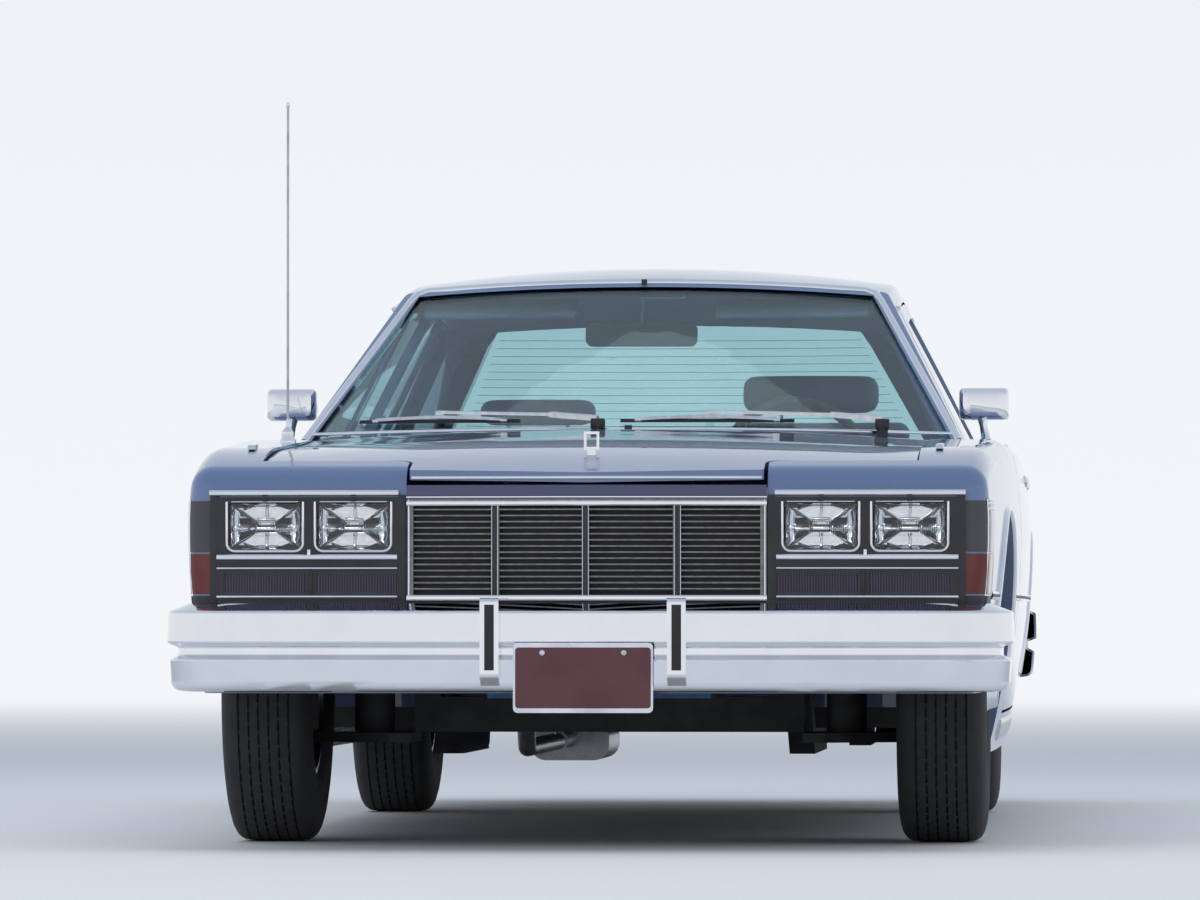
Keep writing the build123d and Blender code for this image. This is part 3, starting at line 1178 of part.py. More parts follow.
WIPERS = (                    # pivot x, arm end x, blade from and to x
    (-70.0, -455.0, -650.0, -260.0),
    (600.0, 190.0, -20.0, 390.0),
)
WIPER_Z = (972.0, 985.0)      # of the blades and of the arms
wipers = []
for pivot_x, end_x, blade_low, blade_high in WIPERS:
    pivot = glass_spot(pivot_x, WIPER_Z[0], 70.0)
    post = rod((pivot[0], pivot[1], 915), (pivot[0], pivot[1], WIPER_Z[1]), 13)
    middle_x = (blade_low + blade_high) / 2
    arm = rod((pivot[0], pivot[1], WIPER_Z[1] - 6), glass_spot(end_x, WIPER_Z[1], 22.0), 6)
    blade = rod(glass_spot(blade_low, WIPER_Z[0], 9.0), glass_spot(middle_x, WIPER_Z[0], 9.0), 7)
    blade = blade + rod(glass_spot(middle_x, WIPER_Z[0], 9.0), glass_spot(blade_high, WIPER_Z[0], 9.0), 7)
    link = rod(glass_spot(end_x, WIPER_Z[1], 22.0), glass_spot(end_x, WIPER_Z[0], 12.0), 6)
    piece = post + arm + blade + link - BODY - CABIN_AT_GLASS
    wipers.append(max(piece.solids(), key=lambda s: s.volume))
save("wipers", *wipers)

INNER_MIRROR_Z = (1170.0, 1228.0)
inner_mirror = fillet(box((-136, 136), (-470, -445), INNER_MIRROR_Z).edges().filter_by(Axis.Y), 18)
inner_mirror = inner_mirror + rod((0, -455, 1220), (0, -400, 1290), 7) - (CABIN - CABIN_IN_GLASS)
save("inner_mirror", max(inner_mirror.solids(), key=lambda s: s.volume))
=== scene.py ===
import math

import bmesh
import bpy
from mathutils import Matrix, Vector
from mathutils.bvhtree import BVHTree


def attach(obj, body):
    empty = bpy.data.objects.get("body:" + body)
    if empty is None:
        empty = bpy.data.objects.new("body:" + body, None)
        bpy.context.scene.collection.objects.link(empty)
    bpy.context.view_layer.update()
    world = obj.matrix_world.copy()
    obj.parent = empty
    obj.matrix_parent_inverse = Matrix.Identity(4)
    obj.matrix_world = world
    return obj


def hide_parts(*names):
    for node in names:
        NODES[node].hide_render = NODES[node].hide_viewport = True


# A midsize sedan's finish and small pieces, in metres, in the frame of its construction:
# nose towards -Y, the car's left side towards +X, the ground at Z 0.

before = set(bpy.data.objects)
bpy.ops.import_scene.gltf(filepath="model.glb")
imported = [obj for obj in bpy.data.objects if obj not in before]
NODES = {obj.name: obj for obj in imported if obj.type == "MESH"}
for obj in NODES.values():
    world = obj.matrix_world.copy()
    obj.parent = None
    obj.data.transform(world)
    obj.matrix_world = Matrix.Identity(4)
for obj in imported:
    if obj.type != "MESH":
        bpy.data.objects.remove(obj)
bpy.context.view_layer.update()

SIDES = (("left", 1), ("right", -1))
TAU = 2 * math.pi

# Places that the construction fixes
FRONT_AXLE_Y = -1.650
REAR_AXLE_Y = 1.213
AXLE_Z = 0.342
FRONT_TRACK_HALF = 0.762
REAR_TRACK_HALF = 0.743
FRONT_ARCH_RADIUS = 0.408
REAR_ARCH_RADIUS = 0.385
BELT_Z = 0.925
NOSE_Y = -2.465
TAIL_Y = 2.468
HINGE_PILLAR_Y = -0.905
B_POST_Y = 0.160
REAR_DOOR_END_Y = 1.068
DOOR_GAP = 0.007
BUMPER_FACE = 2.583
GRILLE_HALF = 0.394
GRILLE_Z = (0.548, 0.770)
GRILLE_ROWS = 14
PROW = 0.037
POD_X = (0.410, 0.812)
HEADLAMP_X = (0.512, 0.706)
HEADLAMP_Z = 0.710
HEADLAMP_SIZE = (0.160, 0.102)
TURN_LAMP_X = (0.504, 0.706)
TURN_LAMP_Z = 0.585
TURN_LAMP_SIZE = (0.182, 0.046)
STEERING_HUB = Vector((0.366, -0.234, 0.875))
STEERING_TILT = math.radians(22)


# Materials

def material(name, base=(0.5, 0.5, 0.5), metallic=0.0, roughness=0.5, **sockets):
    """A principled material; further sockets by their names, with _ for a space."""
    made = bpy.data.materials.new(name)
    made.use_nodes = True
    shader = made.node_tree.nodes["Principled BSDF"]
    shader.inputs["Base Color"].default_value = (*base, 1)
    shader.inputs["Metallic"].default_value = metallic
    shader.inputs["Roughness"].default_value = roughness
    for key, value in sockets.items():
        shader.inputs[key.replace("_", " ")].default_value = value
    return made


def shader_of(made):
    return made.node_tree.nodes["Principled BSDF"]


def node(made, kind, **inputs):
    found = made.node_tree.nodes.new(kind)
    for key, value in inputs.items():
        found.inputs[key].default_value = value
    return found


def link(made, source, output, target, socket):
    made.node_tree.links.new(source.outputs[output], target.inputs[socket])


def texture(made, scale, detail=3.0, stretch=None, kind="ShaderNodeTexNoise"):
    """A texture in the object's own space."""
    place = node(made, "ShaderNodeTexCoord")
    found = node(made, kind, Scale=scale)
    if "Detail" in found.inputs:
        found.inputs["Detail"].default_value = detail
    if stretch:
        mapping = node(made, "ShaderNodeMapping")
        mapping.inputs["Scale"].default_value = stretch
        link(made, place, "Object", mapping, "Vector")
        link(made, mapping, "Vector", found, "Vector")
    else:
        link(made, place, "Object", found, "Vector")
    return found


def vary_colour(made, source, output, low, high, span=(0.3, 0.7)):
    ramp = node(made, "ShaderNodeValToRGB")
    for element, spot, tone in zip(ramp.color_ramp.elements, span, (low, high)):
        element.position = spot
        element.color = (*tone, 1)
    link(made, source, output, ramp, "Fac")
    link(made, ramp, "Color", shader_of(made), "Base Color")


def vary_roughness(made, source, output, low, high):
    span = node(made, "ShaderNodeMapRange")
    span.inputs["To Min"].default_value = low
    span.inputs["To Max"].default_value = high
    link(made, source, output, span, "Value")
    link(made, span, "Result", shader_of(made), "Roughness")


def relief(made, source, output, strength, distance):
    found = node(made, "ShaderNodeBump", Strength=strength, Distance=distance)
    link(made, source, output, found, "Height")
    link(made, found, "Normal", shader_of(made), "Normal")


def make_paint(name, low, high):
    """Metallic paint: fine flakes under a clear coat."""
    made = material(name, high, 0.45, 0.33, Coat_Weight=1.0, Coat_Roughness=0.03)
    vary_colour(made, texture(made, 1100.0, kind="ShaderNodeTexVoronoi"), "Color", low, high, (0.1, 0.9))
    relief(made, texture(made, 60.0, 3.0), "Fac", 0.02, 0.0003)
    return made


def make_metal(name, low, high, rough_low, rough_high, scale=40.0, metallic=1.0):
    made = material(name, high, metallic, rough_high)
    grain = texture(made, scale, 6.0)
    vary_colour(made, grain, "Fac", low, high)
    vary_roughness(made, grain, "Fac", rough_low, rough_high)
    return made


def make_plastic(name, base, roughness, grain=600.0, depth=0.12):
    made = material(name, base, 0.0, roughness)
    lighter = tuple(min(1.0, tone * 1.3 + 0.003) for tone in base)
    vary_colour(made, texture(made, 14.0, 4.0), "Fac", base, lighter)
    relief(made, texture(made, grain, 2.0), "Fac", depth, 0.0006)
    return made


def make_cloth(name, base, lighter, threads=260.0):
    """Woven cloth: crossed threads, a soft sheen and faint wear."""
    made = material(name, base, 0.0, 0.85, Sheen_Weight=0.4, Sheen_Roughness=0.4)
    place = node(made, "ShaderNodeTexCoord")
    waves = []
    for turn in ((0, 0.3, 0), (0.3, 0, math.pi / 2)):
        mapping = node(made, "ShaderNodeMapping")
        mapping.inputs["Rotation"].default_value = turn
        wave = node(made, "ShaderNodeTexWave", Scale=threads, Distortion=0.6)
        link(made, place, "Object", mapping, "Vector")
        link(made, mapping, "Vector", wave, "Vector")
        waves.append(wave)
    weave = node(made, "ShaderNodeMath")
    weave.operation = "MAXIMUM"
    link(made, waves[0], "Fac", weave, 0)
    link(made, waves[1], "Fac", weave, 1)
    relief(made, weave, "Value", 0.25, 0.0008)
    vary_colour(made, texture(made, 30.0, 6.0), "Fac", base, lighter)
    return made


def make_carpet(name, base, lighter):
    made = material(name, base, 0.0, 0.95, Sheen_Weight=0.3)
    pile = texture(made, 450.0, 3.0)
    vary_colour(made, pile, "Fac", base, lighter)
    relief(made, pile, "Fac", 0.8, 0.003)
    return made


def make_lens(name, base, roughness, transmission, ior=1.49):
    """Moulded lens plastic or glass with a faint ripple."""
    made = material(name, base, 0.0, roughness, Transmission_Weight=transmission, IOR=ior)
    relief(made, texture(made, 120.0, 2.0), "Fac", 0.03, 0.0004)
    return made


PAINT = make_paint("body_paint", (0.048, 0.080, 0.170), (0.108, 0.165, 0.305))
CHROME = make_metal("chrome", (0.78, 0.79, 0.82), (0.82, 0.83, 0.86), 0.03, 0.055, 12.0)
SATIN = make_metal("satin_trim", (0.55, 0.56, 0.60), (0.70, 0.71, 0.75), 0.18, 0.30, 50.0)
STEEL = make_metal("steel", (0.38, 0.38, 0.40), (0.60, 0.60, 0.62), 0.22, 0.40)
BLACK = make_plastic("black_trim", (0.012, 0.012, 0.014), 0.42)
RUBBER = make_plastic("rubber", (0.016, 0.016, 0.017), 0.75, 900.0)
TYRE = make_plastic("tyre_rubber", (0.018, 0.018, 0.019), 0.82, 1200.0, 0.25)
WINDOW = material("window_glass", (0.58, 0.78, 0.80), 0.0, 0.0, Transmission_Weight=1.0, IOR=1.04,
                  Coat_Weight=1.0, Coat_IOR=1.45, Coat_Roughness=0.0)
vary_colour(WINDOW, texture(WINDOW, 3.0, 1.0), "Fac", (0.57, 0.77, 0.79), (0.59, 0.79, 0.81))
LENS = make_lens("clear_lens", (0.96, 0.97, 0.98), 0.01, 1.0)
AMBER = make_lens("amber_lens", (0.80, 0.24, 0.03), 0.08, 0.35)
RED = make_lens("red_lens", (0.48, 0.012, 0.016), 0.08, 0.2)
SMOKE = make_lens("turn_lens", (0.060, 0.048, 0.080), 0.10, 0.25)
MARKER_DARK = make_lens("marker_lens", (0.055, 0.050, 0.065), 0.06, 0.3)
MARKER_RED = make_lens("marker_lower_lens", (0.125, 0.022, 0.016), 0.08, 0.2)
BACKUP = make_lens("backup_lens", (0.80, 0.81, 0.83), 0.1, 0.4)
REFLECTOR = make_metal("lamp_reflector", (0.84, 0.85, 0.87), (0.92, 0.93, 0.94), 0.02, 0.07, 80.0)
MIRROR = make_metal("mirror_face", (0.88, 0.89, 0.90), (0.93, 0.94, 0.95), 0.0, 0.02, 10.0)
UNDER = make_metal("underbody", (0.012, 0.012, 0.014), (0.035, 0.034, 0.034), 0.6, 0.8, 18.0, 0.15)
IRON = make_metal("cast_iron", (0.05, 0.048, 0.046), (0.13, 0.12, 0.115), 0.55, 0.8, 30.0, 0.7)
ENGINE_ENAMEL = make_metal("engine_enamel", (0.03, 0.09, 0.20), (0.06, 0.14, 0.28), 0.35, 0.6, 22.0, 0.1)
CLOTH = make_cloth("seat_cloth", (0.030, 0.034, 0.085), (0.055, 0.060, 0.130))
VINYL = make_plastic("blue_vinyl", (0.030, 0.036, 0.090), 0.48, 420.0, 0.3)
DASH = make_plastic("dash_plastic", (0.020, 0.023, 0.055), 0.55, 500.0, 0.25)
CARPET = make_carpet("carpet", (0.018, 0.021, 0.055), (0.045, 0.050, 0.100))
HEADLINER = make_cloth("headliner", (0.16, 0.18, 0.27), (0.21, 0.23, 0.32), 300.0)
PLATE = make_plastic("plate_field", (0.070, 0.018, 0.024), 0.35, 300.0, 0.04)
PLATE_RIM = make_plastic("plate_rim", (0.50, 0.50, 0.54), 0.35, 300.0, 0.04)
DIAL = make_plastic("dial_face", (0.010, 0.010, 0.012), 0.4, 200.0, 0.02)
MARK = make_plastic("dial_marks", (0.75, 0.76, 0.74), 0.5, 200.0, 0.02)
WOOD = material("dash_applique", (0.11, 0.05, 0.02), 0.0, 0.3, Coat_Weight=0.6)
vary_colour(WOOD, texture(WOOD, 22.0, 8.0, (1, 8, 8)), "Fac", (0.06, 0.026, 0.010), (0.19, 0.09, 0.035))

NODE_MATERIALS = (
    (CHROME, ("hood_ornament",)),
    (PAINT, ("roof", "hood", "trunk_lid", "fender", "quarter", "sill", "tail_panel", "nose_panel", "rear_deck",
             "firewall", "door_posts", "door_front", "door_rear")),
    (CHROME, ("grille", "bumper")),
    (STEEL, ("antenna", "exhaust")),
    (WINDOW, ("windshield", "rear_window", "glass")),
    (BLACK, ("lamp_bezels", "inner_mirror", "steering_wheel", "mirror", "wipers", "radiator")),
    (UNDER, ("floor_pan", "frame_rails", "wheelhouses", "fuel_tank", "front_suspension")),
    (IRON, ("knuckle", "rear_axle", "drive_line")),
    (ENGINE_ENAMEL, ("engine",)),
    (RED, ("tail_lamps",)),
    (SMOKE, ("signal_lamps",)),
    (LENS, ("headlamps",)),
    (DASH, ("dashboard",)),
    (CLOTH, ("seat",)),
    (TYRE, ("tyre",)),
    (SATIN, ("wheel",)),
)
for name, thing in NODES.items():
    found = None
    for made, words in NODE_MATERIALS:
        if found is None and any(word in name for word in words):
            found = made
    thing.data.materials.clear()
    thing.data.materials.append(found or UNDER)
    for face in thing.data.polygons:
        face.material_index = 0
        face.use_smooth = True


# Shapes

class Piece:
    """The shapes of one piece, each with its own material, in the frame's place."""

    def __init__(self, name, body, slot):
        self.name, self.body, self.slot = name, body, slot
        self.mesh = bmesh.new()
        self.materials = []

    def number(self, made):
        if made not in self.materials:
            self.materials.append(made)
        return self.materials.index(made)

    def skin(self, rings, made, closed=True, caps=True, loop=False):
        """Faces between rings of points; loop joins the last ring to the first."""
        number = self.number(made)
        rows = [[self.mesh.verts.new(point) for point in ring] for ring in rings]
        pairs = list(zip(rows, rows[1:]))
        if loop:
            pairs.append((rows[-1], rows[0]))
        count = len(rows[0])
        for low, high in pairs:
            for i in range(count if closed else count - 1):
                j = (i + 1) % count
                self.mesh.faces.new((low[i], low[j], high[j], high[i])).material_index = number
        if caps and closed and not loop:
            self.mesh.faces.new(rows[0][::-1]).material_index = number
            self.mesh.faces.new(rows[-1]).material_index = number
        return self

    def sweep(self, path, section, made, up=(0, 0, 1), loop=False, caps=True, closed=True):
        """A section of (side, up) offsets along a path; up is one vector or one for each point."""
        path = [Vector(spot) for spot in path]
        ups = up if isinstance(up, list) else [Vector(up)] * len(path)
        rings = []
        last = len(path) - 1
        for i, spot in enumerate(path):
            before = path[i - 1] if i or loop else spot
            after = path[(i + 1) % len(path)] if i < last or loop else spot
            into, out = spot - before, after - spot
            along = (after - before).normalized()
            side = along.cross(ups[i]).normalized()
            rise = side.cross(along).normalized()
            widen_side = widen_rise = 1.0
            if into.length > 0 and out.length > 0:
                bend = out.normalized() - into.normalized()
                half = max(0.35, math.sqrt(max(0.0, 1 - bend.length_squared / 4)))
                if bend.length > 1e-6:
                    lean = bend.normalized()
                    if abs(lean.dot(side)) > abs(lean.dot(rise)):
                        widen_side = 1 / half
                    else:
                        widen_rise = 1 / half
            rings.append([spot + side * a * widen_side + rise * b * widen_rise for a, b in section])
        return self.skin(rings, made, closed, caps, loop)

    def tube(self, path, radius, made, sides=10, loop=False):
        path = [Vector(spot) for spot in path]
        ups = []
        up = (path[1] - path[0]).orthogonal().normalized()
        for i, spot in enumerate(path):
            after = path[min(i + 1, len(path) - 1)]
            before = path[max(i - 1, 0)]
            along = (after - before).normalized()
            up = (up - along * up.dot(along)).normalized()
            ups.append(up)
        return self.sweep(path, ring_section(radius, radius, sides), made, ups, loop)

    def lathe(self, profile, at, axis, made, steps=32, caps=True):
        """A profile of (radius, distance along the axis) turned about the axis."""
        at, axis = Vector(at), Vector(axis).normalized()
        side = axis.orthogonal().normalized()
        other = axis.cross(side)
        turns = [TAU * i / steps for i in range(steps)]
        rings = [[at + axis * along + (side * math.cos(t) + other * math.sin(t)) * max(radius, 0.0003)
                  for t in turns] for radius, along in profile]
        return self.skin(rings, made, True, caps)

    def absorb(self, other, made, matrix=None):
        number = self.number(made)
        copies = {}
        for vertex in other.verts:
            spot = matrix @ vertex.co if matrix else vertex.co
            copies[vertex] = self.mesh.verts.new(spot)
        for face in other.faces:
            self.mesh.faces.new([copies[vertex] for vertex in face.verts]).material_index = number
        other.free()
        return self

    def block(self, low, high, made, radius=0.002, segments=2, matrix=None):
        """A box with rounded edges."""
        low, high = Vector(low), Vector(high)
        other = bmesh.new()
        bmesh.ops.create_cube(other, size=1.0)
        for vertex in other.verts:
            vertex.co = Vector([(low[i] + high[i]) / 2 + vertex.co[i] * (high[i] - low[i]) for i in range(3)])
        if radius:
            radius = min(radius, min(high[i] - low[i] for i in range(3)) * 0.45)
            bmesh.ops.bevel(other, geom=other.edges[:], offset=radius, segments=segments, affect="EDGES",
                            profile=0.5)
        return self.absorb(other, made, matrix)

    def prism(self, axis, low, high, corners, made, radius=0.0, segments=2, matrix=None):
        """An outline in the plane across an axis, drawn out along it."""
        other = bmesh.new()
        put = {"x": lambda d, a, b: (d, a, b), "y": lambda d, a, b: (a, d, b), "z": lambda d, a, b: (a, b, d)}[axis]
        rows = [[other.verts.new(put(d, a, b)) for a, b in corners] for d in (low, high)]
        count = len(corners)
        other.faces.new(rows[0][::-1])
        other.faces.new(rows[1])
        for i in range(count):
            j = (i + 1) % count
            other.faces.new((rows[0][i], rows[0][j], rows[1][j], rows[1][i]))
        if radius:
            bmesh.ops.bevel(other, geom=other.edges[:], offset=radius, segments=segments, affect="EDGES",
                            profile=0.5, clamp_overlap=True)
        return self.absorb(other, made, matrix)

    def twin(self):
        """Adds the same shapes on the car's other side."""
        made = bmesh.ops.duplicate(self.mesh, geom=self.mesh.verts[:] + self.mesh.edges[:] + self.mesh.faces[:])
        for part in made["geom"]:
            if isinstance(part, bmesh.types.BMVert):
                part.co.x = -part.co.x
        return self

    def make(self, sign=1, angle=35, outward=True):
        if sign < 0:
            for vertex in self.mesh.verts:
                vertex.co.x = -vertex.co.x
        if outward:
            bmesh.ops.recalc_face_normals(self.mesh, faces=self.mesh.faces[:])
        data = bpy.data.meshes.new(self.name)
        self.mesh.to_mesh(data)
        self.mesh.free()
        for made in self.materials:
            data.materials.append(made)
        data.shade_smooth()
        data.set_sharp_from_angle(angle=math.radians(angle))
        thing = bpy.data.objects.new(self.name, data)
        bpy.context.scene.collection.objects.link(thing)
        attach(thing, self.body)
        return thing


def ring_section(half_a, half_b, sides=10):
    return [(half_a * math.cos(TAU * i / sides), half_b * math.sin(TAU * i / sides)) for i in range(sides)]


def crowned(width, height, foot=0.0, steps=6):
    """A molding's section: flat below, crowned above."""
    points = [(-width / 2, -foot)]
    for i in range(steps + 1):
        a = math.pi * (1 - i / steps)
        points.append((math.cos(a) * width / 2, math.sin(a) * height))
    points.append((width / 2, -foot))
    return points


def tree(*names):
    """The named nodes' surfaces, for finding spots on them."""
    points, faces = [], []
    for name in names:
        data = NODES[name].data
        start = len(points)
        points += [vertex.co.copy() for vertex in data.vertices]
        faces += [[start + i for i in face.vertices] for face in data.polygons]
    return BVHTree.FromPolygons(points, faces)


def struck(surface, origin, towards):
    """Where a ray first meets a surface, with the surface's direction facing the ray, or None."""
    towards = Vector(towards).normalized()
    spot, normal, index, distance = surface.ray_cast(Vector(origin), towards)
    if spot is None:
        return None
    if normal.dot(towards) > 0:
        normal = -normal
    return spot, normal


def spread(low, high, count):
    return [low + (high - low) * i / (count - 1) for i in range(count)]


def on_flank(surface, places):
    """Spots and outward directions on the left flank at (y, z) places."""
    found = [struck(surface, (1.6, y, z), (-1, 0, 0)) for y, z in places]
    return [hit for hit in found if hit]


def lay(piece, hits, section, made, lift=0.0, **options):
    """A molding along spots found on a surface."""
    path = [spot + normal * lift for spot, normal in hits]
    piece.sweep(path, section, made, [normal for spot, normal in hits], **options)


def arc_points(centre, radius, start, stop, count):
    """(a, b) points on an arc, in degrees."""
    return [(centre[0] + radius * math.cos(math.radians(t)), centre[1] + radius * math.sin(math.radians(t)))
            for t in spread(start, stop, count)]


def rounded_rectangle(a, b, half_a, half_b, radius, steps=4):
    points = []
    for ca, cb, start in ((1, 1, 0), (-1, 1, 90), (-1, -1, 180), (1, -1, 270)):
        centre = (a + ca * (half_a - radius), b + cb * (half_b - radius))
        points += arc_points(centre, radius, start, start + 90, steps)
    return points


# Nose: grille, lamps and their trim

def prow_y(x, ahead=0.0):
    """The grille's front face along the pointed nose."""
    return NOSE_Y - 0.008 - ahead - PROW * (1 - min(1.0, abs(x) / GRILLE_HALF))


def prow_bar_path(half, z, ahead):
    return [(x, prow_y(x, ahead), z) for x in (-half, -half / 2, 0.0, half / 2, half)]


GRILLE_DARK = make_metal("grille_bars", (0.16, 0.15, 0.15), (0.26, 0.25, 0.245), 0.25, 0.40, 60.0)
# The band under the hood's front edge gets a darker copy of the body paint: painted shade under the hood's overhang.
HEADER_SHADE_PAINT = make_paint("header_band_painted_shade", (0.024, 0.026, 0.080), (0.040, 0.042, 0.110))
NODES["grille"].data.materials[0] = GRILLE_DARK

grille = Piece("grille_trim", "car_body", "chrome")
thin_bar = [(-0.0008, -0.002), (0.0008, -0.002), (0.0008, 0.0026), (-0.0008, 0.0026)]
bar = [(-0.0022, -0.002), (0.0022, -0.002), (0.0022, 0.002), (0.0012, 0.003), (-0.0012, 0.003), (-0.0022, 0.002)]
for z, ahead, tall, made in (
        (0.7605, 0.003, 0.0055, CHROME), (0.7738, 0.005, 0.0024, CHROME), (0.5535, 0.003, 0.0055, CHROME),
):
    section = [(-tall, 0.0), (-tall, 0.003), (-tall * 0.5, 0.0055), (tall * 0.5, 0.0055), (tall, 0.003), (tall, 0.0)]
    grille.sweep(prow_bar_path(GRILLE_HALF, z, ahead), section, made, (0, -1, 0))
for x in (-0.2, 0.0, 0.2):
    half = 0.0065
    for edge in (-half, half):
        grille.sweep([(x + edge, prow_y(x + edge, 0.0), z) for z in spread(0.558, 0.757, 3)], thin_bar, SATIN,
                     (0, -1, 0))
    grille.sweep([(x, prow_y(x, -0.001), z) for z in spread(0.558, 0.757, 3)],
                 [(-half, -0.002), (half, -0.002), (half, 0.002), (-half, 0.002)], BLACK, (0, -1, 0))
# a black strip under the lowest chrome bar, down to the bumper: painted shade of the gap there
grille.sweep(prow_bar_path(GRILLE_HALF, 0.5385, 0.001),
             [(-0.0095, 0.0), (-0.0095, 0.001), (0.0095, 0.001), (0.0095, 0.0)], BLACK, (0, -1, 0))
for x in (-0.390, 0.390):
    grille.sweep([(x, prow_y(x, 0.001), z) for z in spread(0.548, 0.768, 3)], bar, CHROME, (0, -1, 0))
back = [(-GRILLE_HALF, 0.552), (GRILLE_HALF, 0.552), (GRILLE_HALF, 0.768), (-GRILLE_HALF, 0.768)]
grille.prism("y", NOSE_Y + 0.022, NOSE_Y + 0.026, back, BLACK)
grille.make()

# the body-coloured band under the hood lip, in the darker paint copy that is painted shade
header = Piece("header_band_painted_shade", "car_body", "paint")
header.sweep(prow_bar_path(0.394, 0.7885, 0.001),
             [(-0.0115, 0.0), (-0.0115, 0.003), (0.0115, 0.003), (0.0115, 0.0)], HEADER_SHADE_PAINT, (0, -1, 0))
header.make()

for side, sign in SIDES:
    trim = Piece(f"lamp_trim_{side}", "car_body", "chrome")
    face = NOSE_Y - 0.012
    inner, outer = 0.436, 0.800
    # the strips above and below the lamps
    trim.sweep([(x, face, 0.7835) for x in spread(0.412, 0.828, 9)], crowned(0.013, 0.006, 0.001), CHROME, (0, -1, 0))
    trim.sweep([(x, face, 0.643) for x in spread(0.415, 0.812, 9)], crowned(0.013, 0.006, 0.001), CHROME, (0, -1, 0))
    trim.sweep([(x, face, 0.6185) for x in spread(0.415, 0.812, 9)], crowned(0.005, 0.003, 0.001), CHROME, (0, -1, 0))
    trim.sweep([(x, face, 0.556) for x in spread(0.415, 0.812, 9)], crowned(0.007, 0.004, 0.001), CHROME, (0, -1, 0))
    trim.sweep([(x, face, 0.631) for x in (0.413, 0.812)], [(-0.009, 0.0), (-0.009, 0.001), (0.009, 0.001),
               (0.009, 0.0)], BLACK, (0, -1, 0))
    for x in HEADLAMP_X:
        half_x, half_z, corner = HEADLAMP_SIZE[0] / 2 + 0.004, HEADLAMP_SIZE[1] / 2 + 0.003, 0.018
        path = [(x - half_x, HEADLAMP_Z + half_z)]
        path += arc_points((x - half_x + corner, HEADLAMP_Z - half_z + corner), corner, 180, 270, 6)
        path += arc_points((x + half_x - corner, HEADLAMP_Z - half_z + corner), corner, 270, 360, 6)
        path += [(x + half_x, HEADLAMP_Z + half_z)]
        trim.sweep([(a, face, b) for a, b in path], crowned(0.007, 0.005, 0.001), CHROME, (0, -1, 0))
        path = [(x - half_x + 0.010, HEADLAMP_Z + half_z), (x + half_x - 0.010, HEADLAMP_Z + half_z)]
        trim.sweep([(a, face, b) for a, b in path], crowned(0.003, 0.002, 0.001), CHROME, (0, -1, 0))
        trim.block((x - 0.006, face - 0.006, HEADLAMP_Z + half_z + 0.003), (x + 0.006, face, HEADLAMP_Z + half_z + 0.011),
                   BLACK, 0.0015)
    trim.sweep([(0.4045, face + 0.0005, z) for z in (0.550, 0.779)],
               [(-0.0075, 0.0), (-0.0075, 0.001), (0.0075, 0.001), (0.0075, 0.0)], BLACK, (0, -1, 0))
    trim.block((0.810, face - 0.0005, 0.530), (0.8265, NOSE_Y + 0.004, 0.779), BLACK, 0.001)
    # a black strip under each lamp pod, down to the bumper: painted shade of the gap there
    trim.block((0.397, face, 0.530), (0.812, NOSE_Y - 0.004, 0.5495), BLACK, 0.001)
    trim.block((0.605, face - 0.005, 0.638), (0.613, face + 0.001, 0.660), CHROME, 0.002)
    trim.block((0.601, face - 0.003, 0.562), (0.608, face + 0.001, 0.611), BLACK, 0.001)
    trim.make(sign)

    lamps = Piece(f"headlamp_{side}", "car_body", "lamp_glass")
    for x in HEADLAMP_X:
        half_x, half_z = HEADLAMP_SIZE[0] / 2 - 0.001, HEADLAMP_SIZE[1] / 2 - 0.001
        depths = ((-2.4625, 1.0, 1.0), (-2.450, 0.97, 0.95), (-2.436, 0.88, 0.84), (-2.420, 0.68, 0.62),
                  (-2.408, 0.40, 0.34), (-2.402, 0.16, 0.14))
        rings = []
        for y, share_x, share_z in depths:
            corner = 0.010 * min(share_x, share_z)
            rings.append([(a, y, b) for a, b in rounded_rectangle(
                x, HEADLAMP_Z, half_x * share_x, half_z * share_z, corner)])
        lamps.skin(rings, REFLECTOR, caps=False)
        lamps.prism("y", -2.4025, -2.4005, rounded_rectangle(x, HEADLAMP_Z, 0.016, 0.010, 0.004), REFLECTOR)
        # lens: flutes in three bands
        columns = 72
        rows = (-1.0, -0.62, -0.60, -0.02, 0.02, 0.60, 0.62, 1.0)
        front, rear = [], []
        for row in rows:
            z = HEADLAMP_Z + row * half_z
            line = []
            for i in range(columns + 1):
                share = -1 + 2 * i / columns
                dome = 0.0035 * (1 - share ** 2) * (1 - row ** 2)
                flute = 0.0007 * (i % 2) if abs(row) < 0.61 or i % 4 == 0 else 0.0
                line.append((x + share * half_x, -2.4665 - dome - flute, z))
            front.append(line)
            rear.append([(a, -2.4635, b) for a, y, b in line])
        lamps.skin(front, LENS, closed=False)
        lamps.skin(rear[::-1], LENS, closed=False)
        edge = [(x - half_x, x + half_x)]
        for low, high in edge:
            for line_front, line_rear in ((front[0], rear[0]), (front[-1], rear[-1])):
                lamps.skin([line_front, line_rear], LENS, closed=False)
            lamps.skin([[row[0] for row in front], [row[0] for row in rear]], LENS, closed=False)
            lamps.skin([[row[-1] for row in front], [row[-1] for row in rear]], LENS, closed=False)
        # bulb shield and its bracket
        lamps.block((x - 0.024, -2.444, HEADLAMP_Z - 0.012), (x + 0.024, -2.430, HEADLAMP_Z + 0.004), REFLECTOR, 0.006, 3)
        lamps.block((x - 0.020, -2.440, HEADLAMP_Z + 0.012), (x + 0.020, -2.434, HEADLAMP_Z + 0.018), REFLECTOR, 0.002)
        lamps.block((x - 0.003, -2.438, HEADLAMP_Z - 0.006), (x + 0.003, -2.404, HEADLAMP_Z + 0.002), REFLECTOR, 0.001)
    thing = lamps.make(sign)
    if sign > 0:
        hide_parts("headlamps")

